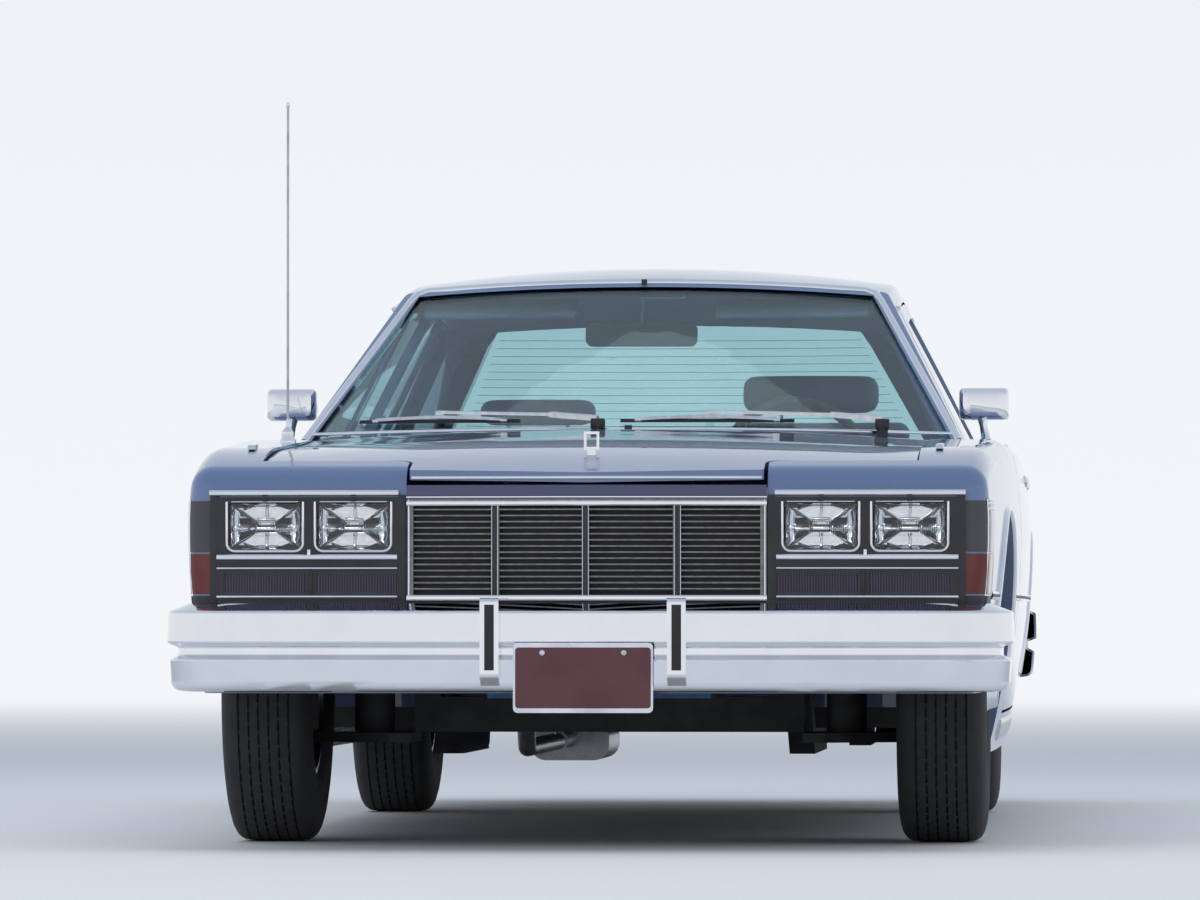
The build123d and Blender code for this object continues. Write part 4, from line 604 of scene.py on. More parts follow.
    ribs = Piece(f"turn_lamp_ribs_{side}", "car_body", "amber")
    for x in TURN_LAMP_X:
        for i in range(30):
            a = x - TURN_LAMP_SIZE[0] / 2 + 0.004 + (TURN_LAMP_SIZE[0] - 0.008) * i / 29
            ribs.prism("z", TURN_LAMP_Z - 0.021, TURN_LAMP_Z + 0.021,
                       [(a - 0.0022, NOSE_Y - 0.0075), (a + 0.0022, NOSE_Y - 0.0075), (a, NOSE_Y - 0.0098)], SMOKE)
    ribs.make(sign)

    # corner markers: dark upper lens, red lower lens, two short bars and a frame
    markers = tree("signal_lamps", "front_fenders")
    corner = Piece(f"corner_marker_{side}", "car_body", "amber")
    # the lowest band, in black, is painted shade of the gap above the bumper
    for low, high, made in ((0.530, 0.558, BLACK), (0.562, 0.650, MARKER_RED), (0.654, 0.766, MARKER_DARK)):
        rows = []
        for z in spread(low, high, 5):
            hits = [struck(markers, (x, -3.0, z), (0, 1, 0)) for x in spread(0.819, 0.872, 8)]
            rows.append([spot + normal * 0.002 for spot, normal in (hit for hit in hits if hit)])
        shortest = min(len(row) for row in rows)
        corner.skin([row[:shortest] for row in rows], made, closed=False)
        rows = []
        for z in spread(low, high, 5):
            hits = on_flank(markers, [(y, z) for y in spread(-2.432, -2.308, 7)])
            rows.append([spot + normal * 0.002 for spot, normal in hits])
        corner.skin(rows, made, closed=False)
    for z in (0.748, 0.760):
        lay(corner, on_flank(markers, [(y, z) for y in spread(-2.432, -2.308, 6)]), crowned(0.006, 0.004, 0.001), CHROME)
    for y in (-2.436, -2.304):
        lay(corner, on_flank(markers, [(y, z) for z in spread(0.560, 0.766, 6)]), crowned(0.004, 0.003, 0.001), CHROME)
    for z in (0.559, 0.652, 0.767):
        lay(corner, on_flank(markers, [(y, z) for y in spread(-2.436, -2.304, 6)]), crowned(0.004, 0.003, 0.001), CHROME)
    corner.make(sign)

# The hood's lip strip and the indicators on the fenders
hood_skin = tree("hood")
lip = Piece("hood_lip_strip", "hood", "chrome")
lay(lip, [hit for hit in (struck(hood_skin, (x, -3.2, 0.8165), (0, 1, 0)) for x in spread(-0.383, 0.383, 31)) if hit],
    crowned(0.008, 0.004, 0.001), CHROME)
lip.make()

fenders = tree("front_fenders")
for side, sign in SIDES:
    marker = Piece(f"fender_indicator_{side}", "car_body", "chrome")
    hit = struck(fenders, (0.765, -2.18, 2.0), (0, 0, -1))
    if hit:
        x, y, z = hit[0]
        marker.prism("x", x - 0.009, x + 0.009, [(y - 0.036, z - 0.001), (y - 0.026, z + 0.010), (y + 0.030, z + 0.014),
                     (y + 0.040, z - 0.001)], CHROME, 0.003, 3)
        marker.block((x - 0.006, y + 0.030, z + 0.003), (x + 0.006, y + 0.0385, z + 0.009), AMBER, 0.001)
    marker.make(sign)

# Bumpers: guard pads, blank plates with bolts
for end, sign in (("front", -1), ("rear", 1)):
    pads = Piece(f"{end}_bumper_trim", "car_body", "trim")
    for x in (-0.2035, 0.2035):
        y = sign * (BUMPER_FACE + 0.0210)
        pads.prism("x", x - 0.0105, x + 0.0105, [
            (y - sign * 0.001, 0.392), (y + sign * 0.0012, 0.396), (y + sign * 0.0012, 0.538), (y - sign * 0.001, 0.542)],
            RUBBER)
    pads.make()
plates = Piece("front_plate", "car_body", "trim")
plates.prism("y", -2.5925, -2.5895, rounded_rectangle(0.0, 0.3795, 0.1524, 0.0762, 0.010), PLATE_RIM, 0.0006, 1)
plates.prism("y", -2.5932, -2.5920, rounded_rectangle(0.0, 0.3795, 0.1475, 0.0660, 0.007), PLATE, 0.0004, 1)
for x in (-0.0889, 0.0889):
    plates.lathe([(0.0062, 0.0), (0.0062, 0.002), (0.0045, 0.0035), (0.0, 0.004)], (x, -2.5930, 0.4340), (0, -1, 0),
                 SATIN, 12)
plates.make()


# Glass surrounds

front_face = tree("roof", "windshield")
rear_face = tree("roof", "rear_window")


def window_ring(base, top, edge, middle, grow, ahead, surface):
    """Spots round a window: up one side, over the top and down the other, seen from the front or rear."""
    slope = (top[0] - base[0]) / (top[1] - base[1])
    side = [(base[0] + grow + (z - base[1]) * slope, z) for z in spread(base[1], top[1] - 0.012, 12)]
    crown = []
    for x in spread(top[0] - 0.020, -(top[0] - 0.020), 19):
        crown.append((x, middle + grow - (middle - top[1]) * (x / top[0]) ** 2))
    knee = [(top[0] + grow * 0.55, top[1] + grow * 0.45)]
    places = side + knee + crown + [(-a, b) for a, b in knee] + [(-a, b) for a, b in side[::-1]]
    hits = [struck(surface, (a, 3.0 * ahead, b), (0, -ahead, 0)) for a, b in places]
    return [hit for hit in hits if hit]


molding = Piece("windshield_molding", "car_body", "chrome")
lay(molding, window_ring((0.768, 0.930), (0.558, 1.300), 0, 1.320, 0.013, -1, front_face), crowned(0.020, 0.008, 0.001),
    CHROME)

base_line = []
for x in spread(-0.765, 0.765, 25):
    hit = struck(front_face, (x, -3.0, 0.9565 - 0.010 * (x / 0.765) ** 2), (0, 1, 0))
    if hit:
        base_line.append(hit)
lay(molding, base_line, crowned(0.010, 0.005, 0.001), CHROME, lift=0.001)
for z, half in ((0.958, 0.009), (1.3305, 0.007)):
    hit = struck(front_face, (0.0, -3.0, z), (0, 1, 0))
    if hit:
        spot = hit[0]
        molding.block((-half, spot.y - 0.010, spot.z - 0.011), (half, spot.y + 0.001, spot.z + 0.009), BLACK, 0.002)
molding.make()

molding = Piece("rear_window_molding", "car_body", "chrome")
lay(molding, window_ring((0.672, 0.930), (0.482, 1.270), 0, 1.286, 0.010, 1, rear_face), crowned(0.018, 0.006, 0.001),
    CHROME)
molding.make()

lines = Piece("defroster_lines", "car_body", "steel")
inside = tree("rear_window")
for z in spread(0.965, 1.245, 15):
    half = 0.640 - 0.50 * (z - 0.925)
    path = []
    for x in spread(-half, half, 17):
        hit = struck(inside, (x, 0.8, z), (0, 1, 0))
        if hit:
            path.append(hit[0] + hit[1] * 0.0009)
    if len(path) > 4:
        lines.tube(path, 0.0007, BLACK, 5)
lines.make()

roof_skin = tree("roof")
for side, sign in SIDES:
    rail = Piece(f"drip_rail_{side}", "car_body", "chrome")
    hits = []
    for y in spread(-0.560, 1.010, 32):
        z = 1.302 - 0.0855 * (y - 0.430) ** 2 + 0.011
        hit = struck(roof_skin, (1.3, y, z), (-1, 0, 0))
        if hit:
            hits.append(hit)
    lay(rail, hits, crowned(0.013, 0.010, 0.001), CHROME)
    hits = [struck(roof_skin, (1.3, -1.005 + 1.97 * (z - 0.925), z), (-1, 0, 0)) for z in spread(0.955, 1.270, 12)]
    hits = [hit for hit in hits if hit and hit[0].x > 0.5]
    if len(hits) > 3:
        lay(rail, hits, crowned(0.013, 0.007, 0.001), CHROME)
    rail.make(sign)

# Moldings along the flank, each on the panel that carries it
FLANK_PANELS = (
    ("front_fenders", "car_body", (-2.285, -0.918)),
    ("door_front", "front_door", (-0.902, 0.154)),
    ("door_rear", "rear_door", (0.166, 1.030)),
    ("quarter_panels", "car_body", (1.078, 2.330)),
)
for side, sign in SIDES:
    for panel, body, (low, high) in FLANK_PANELS:
        node_name = panel if panel in NODES else f"{panel}_left"
        surface = tree(node_name)
        rider = body if body == "car_body" else f"{body}_{side}"
        strip = Piece(f"flank_molding_{panel}_{side}", rider, "chrome")
        for z, width, height, made in ((0.560, 0.020, 0.0055, CHROME), (0.560, 0.011, 0.0068, BLACK)):
            axle, radius = (FRONT_AXLE_Y, FRONT_ARCH_RADIUS) if low < -1 else (REAR_AXLE_Y, REAR_ARCH_RADIUS)
            reach = math.sqrt(max(0.0, (radius + 0.030) ** 2 - (z - AXLE_Z) ** 2))
            runs = [(low, high)]
            if low < axle - reach < high or low < axle + reach < high:
                runs = [(low, axle - reach), (axle + reach, high)]
            for start, stop in runs:
                if stop - start > 0.08:
                    hits = on_flank(surface, [(y, z) for y in spread(start, stop, 12)])
                    if len(hits) > 2:
                        lay(strip, hits, crowned(width, height, 0.001), made)
        if panel.startswith("door"):
            hits = on_flank(surface, [(y, 0.9170) for y in spread(low + 0.004, high - 0.004, 16)])
            lay(strip, hits, crowned(0.012, 0.006, 0.001), CHROME)
        strip.make(sign)
    # lips round the wheel openings
    for end, axle, radius, name in (("front", FRONT_AXLE_Y, FRONT_ARCH_RADIUS, "front_fenders"),
                                    ("rear", REAR_AXLE_Y, REAR_ARCH_RADIUS, "quarter_panels")):
        surface = tree(name)
        lip = Piece(f"wheel_lip_{end}_{side}", "car_body", "chrome")
        places = [(axle + a, AXLE_Z + b) for a, b in arc_points((0, 0), radius + 0.008, 176, 4, 41)]
        lay(lip, on_flank(surface, places), crowned(0.014, 0.008, 0.001), CHROME)
        lip.make(sign)
    rocker = Piece(f"rocker_molding_{side}", "car_body", "chrome")
    hits = on_flank(tree("sills"), [(y, 0.245) for y in spread(-1.19, 0.70, 20)])
    if len(hits) > 2:
        lay(rocker, hits, crowned(0.052, 0.006, 0.001), SATIN)
    rocker.make(sign)


# Wheels and tyres

WHEELS = (
    ("front_left", FRONT_TRACK_HALF, FRONT_AXLE_Y, 1),
    ("front_right", FRONT_TRACK_HALF, FRONT_AXLE_Y, -1),
    ("rear_left", REAR_TRACK_HALF, REAR_AXLE_Y, 1),
    ("rear_right", REAR_TRACK_HALF, REAR_AXLE_Y, -1),
)
COVER_HOLES = 24
for name, x, y, sign in WHEELS:
    hub = (x, y, AXLE_Z)
    cover = Piece(f"wheel_cover_{name}", f"{name[:name.index('_')]}_wheel_{name[name.index('_') + 1:]}", "chrome")
    cover.lathe([(0.1895, 0.0805), (0.1895, 0.0855), (0.183, 0.0895), (0.174, 0.0880), (0.168, 0.0800), (0.160, 0.0760),
                 (0.150, 0.0765), (0.142, 0.0800), (0.120, 0.0855), (0.096, 0.0900), (0.078, 0.0925), (0.072, 0.0900),
                 (0.062, 0.0885), (0.048, 0.0930), (0.040, 0.1030), (0.036, 0.1170), (0.033, 0.1215), (0.020, 0.1225),
                 (0.0, 0.1225)], hub, (1, 0, 0), CHROME, 64, caps=False)
    cover.lathe([(0.071, 0.0905), (0.069, 0.0935), (0.0635, 0.0935), (0.062, 0.0895)], hub, (1, 0, 0), BLACK, 48,
                caps=False)
    for i in range(COVER_HOLES * 2):
        turn = Matrix.Translation(Vector(hub)) @ Matrix.Rotation(TAU * i / (COVER_HOLES * 2), 4, "X")
        cover.block((0.0800, -0.0028, 0.096), (0.0880, 0.0028, 0.146), BLACK if i % 2 else CHROME, 0.0012, 1, turn)
    cover.lathe([(0.0205, 0.1222), (0.019, 0.1240), (0.0, 0.1246)], hub, (1, 0, 0), SATIN, 32, caps=False)
    cover.lathe([(0.0035, 0.078), (0.0035, 0.094), (0.0028, 0.095), (0.0, 0.095)],
                (x, y, AXLE_Z - 0.155), (1, 0, 0), RUBBER, 8)
    cover.make(sign)

    # tyre: grooved tread, rounded shoulders, bead and ribs on the sidewall
    tyre = Piece(f"road_tyre_{name}", f"{name[:name.index('_')]}_wheel_{name[name.index('_') + 1:]}", "tyre")
    half = [(0.000, 0.3418), (0.009, 0.3418), (0.0095, 0.3345), (0.0135, 0.3345), (0.014, 0.3418), (0.031, 0.3416),
            (0.0315, 0.3343), (0.0355, 0.3343), (0.036, 0.3415), (0.054, 0.3410), (0.0545, 0.3340), (0.0585, 0.3340),
            (0.059, 0.3406), (0.072, 0.3390), (0.080, 0.3350), (0.087, 0.3285), (0.0925, 0.3190), (0.0975, 0.3020),
            (0.1003, 0.2850), (0.1013, 0.2700), (0.1020, 0.2650), (0.1020, 0.2630), (0.1010, 0.2580), (0.0998, 0.2400),
            (0.0975, 0.2250), (0.0985, 0.2220), (0.0985, 0.2190), (0.0960, 0.2120), (0.0925, 0.2020), (0.0890, 0.1945),
            (0.0840, 0.1905)]
    profile = [(radius, -across) for across, radius in half[::-1]] + [(radius, across) for across, radius in half[1:]]
    tyre.lathe(profile, hub, (1, 0, 0), TYRE, 96, caps=False)
    blocks = 66
    for i in range(blocks):
        turn = Matrix.Translation(Vector(hub)) @ Matrix.Rotation(TAU * (i + 0.5) / blocks, 4, "X")
        for low, high, lean in ((-0.086, -0.060, 0.10), (-0.0535, -0.0365, -0.35), (-0.0305, -0.0145, 0.35),
                                (-0.0085, 0.0085, -0.35), (0.0145, 0.0305, 0.35), (0.0365, 0.0535, -0.35),
                                (0.060, 0.086, 0.10)):
            lift = 0.3412 if abs(low) < 0.058 else 0.3345
            middle = (low + high) / 2
            skew = turn @ Matrix.Translation((middle, 0, 0)) @ Matrix.Rotation(lean, 4, "Z")
            half_width = (high - low) / 2
            if abs(low) < 0.055 and abs(high) < 0.055:
                tyre.block((-half_width, -0.0125, lift - 0.004), (half_width, 0.0125, 0.3415), TYRE, 0.0, 1, skew)
    thing = tyre.make(sign)
    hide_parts(f"tyre_{name}")


# Door handles, locks, mirrors and the fuel door
HANDLE_Z = 0.848
HANDLES = (("front", 0.030, True), ("rear", 0.925, False))
for side, sign in SIDES:
    for end, y, locked in HANDLES:
        surface = tree(f"door_{end}_left")
        hit = struck(surface, (1.6, y, HANDLE_Z), (-1, 0, 0))
        piece = Piece(f"door_handle_{end}_{side}", f"{end}_door_{side}", "chrome")
        x = hit[0].x
        piece.prism("x", x - 0.001, x + 0.0015, rounded_rectangle(y, HANDLE_Z, 0.062, 0.016, 0.006), CHROME, 0.0005, 1)
        piece.prism("x", x + 0.0012, x + 0.0022, rounded_rectangle(y, HANDLE_Z - 0.002, 0.056, 0.011, 0.004), BLACK)
        path = [(x + 0.001, y - 0.054, HANDLE_Z + 0.004), (x + 0.0065, y - 0.046, HANDLE_Z + 0.004),
                (x + 0.0075, y, HANDLE_Z + 0.0045), (x + 0.0065, y + 0.046, HANDLE_Z + 0.004),
                (x + 0.001, y + 0.054, HANDLE_Z + 0.004)]
        piece.sweep(path, [(-0.007, -0.002), (-0.005, 0.002), (0.005, 0.002), (0.007, -0.002)], CHROME, (1, 0, 0))
        if locked:
            piece.lathe([(0.0085, 0.0), (0.0085, 0.003), (0.007, 0.0045), (0.003, 0.0045), (0.0025, 0.003), (0.0, 0.003)],
                        (x - 0.001, y + 0.002, HANDLE_Z - 0.040), (1, 0, 0), CHROME, 20)
        piece.make(sign)

    # mirror: a tapered chrome head on a slanted stem, its glass facing back
    head = Piece(f"door_mirror_{side}", f"front_door_{side}", "chrome")
    rings = []
    for y, half_x, half_z, corner in ((-0.6885, 0.040, 0.022, 0.012), (-0.6855, 0.050, 0.030, 0.014),
                                      (-0.675, 0.056, 0.035, 0.014), (-0.655, 0.0595, 0.038, 0.013),
                                      (-0.632, 0.060, 0.039, 0.012), (-0.6265, 0.058, 0.037, 0.011)):
        rings.append([(a, y, b) for a, b in rounded_rectangle(0.836, 1.025, half_x, half_z, corner, 5)])
    head.skin(rings, CHROME)
    head.prism("y", -0.6275, -0.6252, rounded_rectangle(0.836, 1.025, 0.0545, 0.0335, 0.009), BLACK)
    head.prism("y", -0.6256, -0.6246, rounded_rectangle(0.836, 1.025, 0.0515, 0.0305, 0.008), MIRROR)
    stem = [((0.846, -0.655, 0.917), 0.021, 0.034), ((0.845, -0.655, 0.926), 0.017, 0.029),
            ((0.840, -0.655, 0.945), 0.011, 0.020), ((0.835, -0.655, 0.970), 0.0095, 0.017),
            ((0.832, -0.655, 0.992), 0.013, 0.021)]
    rings = [[(spot[0] + a, spot[1] + b, spot[2]) for a, b in ring_section(wide, deep, 16)] for spot, wide, deep in stem]
    head.skin(rings, CHROME)
    thing = head.make(sign)
    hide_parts(f"mirror_{side}")

fuel = Piece("fuel_door", "car_body", "paint")
quarter = tree("quarter_panels")
rim = on_flank(quarter, [(1.790 + a, 0.775 + b) for a, b in rounded_rectangle(0, 0, 0.074, 0.066, 0.014, 6)])
lay(fuel, rim, [(-0.0016, -0.001), (-0.0016, 0.0009), (0.0016, 0.0009), (0.0016, -0.001)], BLACK, loop=True, caps=False)
fuel.make()

# Wipers: black pivots, bright tapered arms, and a bridge that holds each blade on the glass
wiper_glass = tree("windshield")


def on_glass(x, z, ahead):
    hit = struck(wiper_glass, (x, -3.0, z), (0, 1, 0))
    return hit[0] + hit[1] * ahead


WIPERS = (("right", -0.070, -0.455, -0.650, -0.260), ("left", 0.600, 0.190, -0.020, 0.390))
wipers = Piece("wiper_arms", "car_body", "trim")
for name, pivot_x, end_x, blade_low, blade_high in WIPERS:
    foot = on_glass(pivot_x, 0.972, 0.0) + Vector((0, -0.070, 0))
    wipers.lathe([(0.0135, 0.926 - foot.z), (0.0135, -0.004), (0.011, 0.0)], foot, (0, 0, 1), RUBBER, 20)
    wipers.block((foot.x - 0.017, foot.y - 0.013, foot.z - 0.016), (foot.x + 0.017, foot.y + 0.014, foot.z + 0.010),
                 BLACK, 0.004)
    start = foot + Vector((0, 0.002, 0.011))
    knee = start.lerp(on_glass(end_x, 0.985, 0.020), 0.30) + Vector((0, -0.004, 0.004))
    end = on_glass(end_x, 0.985, 0.018)
    for low, high, wide, thin in ((start, knee, 0.0085, 0.0055), (knee, end, 0.0055, 0.003)):
        middle = (low + high) / 2
        wipers.sweep([low, middle, high], [(-wide, -thin), (wide, -thin), (wide * 0.6, thin), (-wide * 0.6, thin)],
                     SATIN, (0, -0.3, 1))
    wipers.block((end.x - 0.010, end.y - 0.006, end.z - 0.014), (end.x + 0.010, end.y + 0.006, end.z + 0.004), SATIN,
                 0.002)
    blade = [on_glass(x, 0.9725, 0.0055) for x in spread(blade_low, blade_high, 15)]
    wipers.sweep(blade, [(-0.0015, -0.004), (0.0015, -0.004), (0.004, 0.001), (0.004, 0.004), (-0.004, 0.004),
                 (-0.004, 0.001)], RUBBER, (0, -1, 0.3))
    bridge = [on_glass(blade_low + (blade_high - blade_low) * share, 0.9725, lift)
              for share, lift in ((0.10, 0.011), (0.24, 0.0145), (0.5, 0.0185), (0.76, 0.0145), (0.90, 0.011))]
    wipers.sweep(bridge, [(-0.004, -0.0012), (0.004, -0.0012), (0.004, 0.0012), (-0.004, 0.0012)], SATIN, (0, -1, 0.3))
    for share in (0.10, 0.90):
        spot = on_glass(blade_low + (blade_high - blade_low) * share, 0.9725, 0.008)
        wipers.block(spot - Vector((0.008, 0.005, 0.004)), spot + Vector((0.008, 0.005, 0.004)), SATIN, 0.001)
thing = wipers.make()
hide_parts("wipers")

# Cowl grille between the hood and the windshield, and washer jets
cowl_skin = tree("firewall", "front_fenders", "roof")
cowl = Piece("cowl_vents", "car_body", "trim")
for i in range(58):
    x = -0.56 + 1.12 * i / 57
    top = struck(cowl_skin, (x, -1.105, 2.0), (0, 0, -1))
    if top and abs(top[0].z - 0.94) < 0.05:
        z = top[0].z
        cowl.block((x - 0.0055, -1.128, z - 0.002), (x + 0.0055, -1.082, z + 0.0006), BLACK, 0.0)
for x in (-0.30, 0.30):
    top = struck(cowl_skin, (x, -1.140, 2.0), (0, 0, -1))
    if top and abs(top[0].z - 0.94) < 0.05:
        cowl.block((x - 0.009, -1.147, top[0].z - 0.001), (x + 0.009, -1.133, top[0].z + 0.007), BLACK, 0.002)
cowl.make()

# Antenna base and ball, and a glossy ring round it
wing = Piece("antenna_base", "car_body", "chrome")
hit = struck(fenders, (-0.762, -1.455, 2.0), (0, 0, -1))
if hit:
    wing.lathe([(0.0185, -0.001), (0.0185, 0.003), (0.0150, 0.008), (0.0145, 0.0225), (0.0100, 0.0280), (0.0050, 0.034),
                (0.0040, 0.050), (0.0034, 0.052)], (-0.762, -1.455, hit[0].z), (0, 0, 1), CHROME, 24)
wing.lathe([(0.0030, -0.010), (0.0044, -0.007), (0.0050, -0.003), (0.0044, 0.0), (0.0, 0.0008)],
           (-0.762, -1.455, 1.7035), (0, 0, 1), CHROME, 16)
wing.make()

# Tail: lamp frames and ribs, backup lamps, blank plate and lock
tail_skin = tree("tail_lamps", "tail_panel", "quarter_panels")
for side, sign in SIDES:
    lamp = Piece(f"tail_lamp_trim_{side}", "car_body", "chrome")
    xs = spread(0.484, 0.900, 16)

    def on_tail(x, z):
        hit = struck(tail_skin, (x, 3.2, z), (0, -1, 0))
        return hit if hit and hit[0].y > 2.38 else None

    for z, width in ((0.656, 0.008), (0.714, 0.004), (0.772, 0.008)):
        lay(lamp, [hit for hit in (on_tail(x, z) for x in xs) if hit], crowned(width, 0.005, 0.001), CHROME)
    for x in (0.484, 0.584, 0.700, 0.815):
        hits = [hit for hit in (on_tail(x, z) for z in spread(0.656, 0.772, 7)) if hit]
        if len(hits) > 2:
            lay(lamp, hits, crowned(0.006, 0.005, 0.001), CHROME)
    for i in range(34):
        x = 0.592 + 0.0066 * i
        hits = [hit for hit in (on_tail(x, z) for z in spread(0.662, 0.708, 3)) if hit]
        if len(hits) == 3:
            lay(lamp, hits, crowned(0.0030, 0.0015, 0.001, 3), RED)
        hits = [hit for hit in (on_tail(x, z) for z in spread(0.720, 0.766, 3)) if hit]
        if len(hits) == 3:
            lay(lamp, hits, crowned(0.0030, 0.0015, 0.001, 3), RED)
    rows = []
    for z in spread(0.661, 0.767, 4):
        row = [hit for hit in (on_tail(x, z) for x in spread(0.489, 0.580, 5)) if hit]
        rows.append([spot + normal * 0.0015 for spot, normal in row])
    if min(len(row) for row in rows) == 5:
        lamp.skin(rows, BACKUP, closed=False)
    lamp.make(sign)

rear = Piece("rear_plate", "car_body", "trim")
hit = struck(tree("tail_panel"), (0.0, 3.2, 0.700), (0, -1, 0))
if hit:
    y = hit[0].y
    rear.prism("y", y - 0.001, y + 0.004, rounded_rectangle(0.0, 0.700, 0.166, 0.090, 0.012), BLACK, 0.001, 1)
    rear.prism("y", y + 0.004, y + 0.0065, rounded_rectangle(0.0, 0.700, 0.1524, 0.0762, 0.010), PLATE_RIM, 0.0006, 1)
    rear.prism("y", y + 0.0062, y + 0.0074, rounded_rectangle(0.0, 0.700, 0.1475, 0.0660, 0.007), PLATE, 0.0004, 1)
    for x in (-0.0889, 0.0889):
        rear.lathe([(0.0062, 0.0), (0.0062, 0.002), (0.0045, 0.0035), (0.0, 0.004)], (x, y + 0.0072, 0.754), (0, 1, 0),
                   SATIN, 12)
    rear.block((-0.030, y, 0.792), (0.030, y + 0.014, 0.803), CHROME, 0.003)
rear.make()
lid_skin = tree("trunk_lid")
lock = Piece("trunk_lock_and_strip", "trunk_lid", "chrome")
hit = struck(lid_skin, (0.0, 3.2, 0.835), (0, -1, 0))
if hit:
    lock.lathe([(0.019, -0.001), (0.019, 0.003), (0.015, 0.006), (0.006, 0.0065), (0.0055, 0.004), (0.0, 0.004)],
               hit[0], hit[1], CHROME, 28)
lay(lock, [hit for hit in (struck(lid_skin, (x, 3.2, 0.813), (0, -1, 0)) for x in spread(-0.685, 0.685, 25)) if hit],
    crowned(0.009, 0.005, 0.001), CHROME)
lock.make()

# Hood and fender seams are left as the panels' own gaps; rubber lies under the hood's edge
seal = Piece("hood_seal", "car_body", "trim")
path = [(x, -1.146, 0.905) for x in spread(-0.66, 0.66, 9)]
seal.tube(path, 0.006, RUBBER, 8)
seal.make()


# Seats: padded covers over the frames that the construction gives

def evaluated_mesh(thing):
    graph = bpy.context.evaluated_depsgraph_get()
    graph.update()
    return bpy.data.meshes.new_from_object(thing.evaluated_get(graph), depsgraph=graph)


def apply_modifier(thing, kind, **settings):
    modifier = thing.modifiers.new(kind.lower(), kind)
    for key, value in settings.items():
        setattr(modifier, key, value)
    data = evaluated_mesh(thing)
    thing.modifiers.clear()
    materials = list(thing.data.materials)
    thing.data = data
    data.materials.clear()
    for made in materials:
        data.materials.append(made)


CLOTH_FRAMES = 20


def swell(thing, cap):
    """Blows a closed cover up a little; no point moves further than the cap."""
    start = [vertex.co.copy() for vertex in thing.data.vertices]
    cloth = thing.modifiers.new("cloth", "CLOTH")
    cloth.settings.use_pressure = True
    cloth.settings.uniform_pressure_force = 4.0
    cloth.settings.effector_weights.gravity = 0.0
    cloth.settings.quality = 4
    cloth.point_cache.frame_end = CLOTH_FRAMES
    for i in range(1, CLOTH_FRAMES + 1):
        bpy.context.scene.frame_set(i)
    moved = evaluated_mesh(thing)
    thing.modifiers.clear()
    for vertex, before, after in zip(thing.data.vertices, start, moved.vertices):
        step = after.co - before
        if step.length > 1e-7:
            step *= math.tanh(step.length / cap) * cap / step.length
        vertex.co = before + step
    bpy.context.scene.frame_set(1)
    bpy.data.meshes.remove(moved)


def sew(thing, seams, depth, width):
    """Pulls the cover in along seams, each (axis, place, test of the point)."""
    data = thing.data
    normals = [vertex.normal.copy() for vertex in data.vertices]
    for vertex, normal in zip(data.vertices, normals):
        pull = 0.0
        for axis, place, holds in seams:
            if holds(vertex.co, normal):
                pull = max(pull, math.exp(-((vertex.co[axis] - place) / width) ** 2))
        vertex.co -= normal * depth * pull
    data.update()


def pad(name, body, corners, axis, span, cap=0.018, voxel=0.012, seams=(), made=None, turn=1):
    """A cushion from an outline drawn along an axis, swollen, smoothed and then sewn."""
    piece = Piece(name, body, "cloth")
    piece.prism(axis, *span, corners, made or CLOTH, 0.028, 3)
    thing = piece.make(turn, 180)
    apply_modifier(thing, "REMESH", mode="VOXEL", voxel_size=voxel, use_smooth_shade=True)
    swell(thing, cap)
    apply_modifier(thing, "SUBSURF", levels=1, render_levels=1)
    sew(thing, seams, 0.0075, 0.0075)
    thing.data.shade_smooth()
    return thing


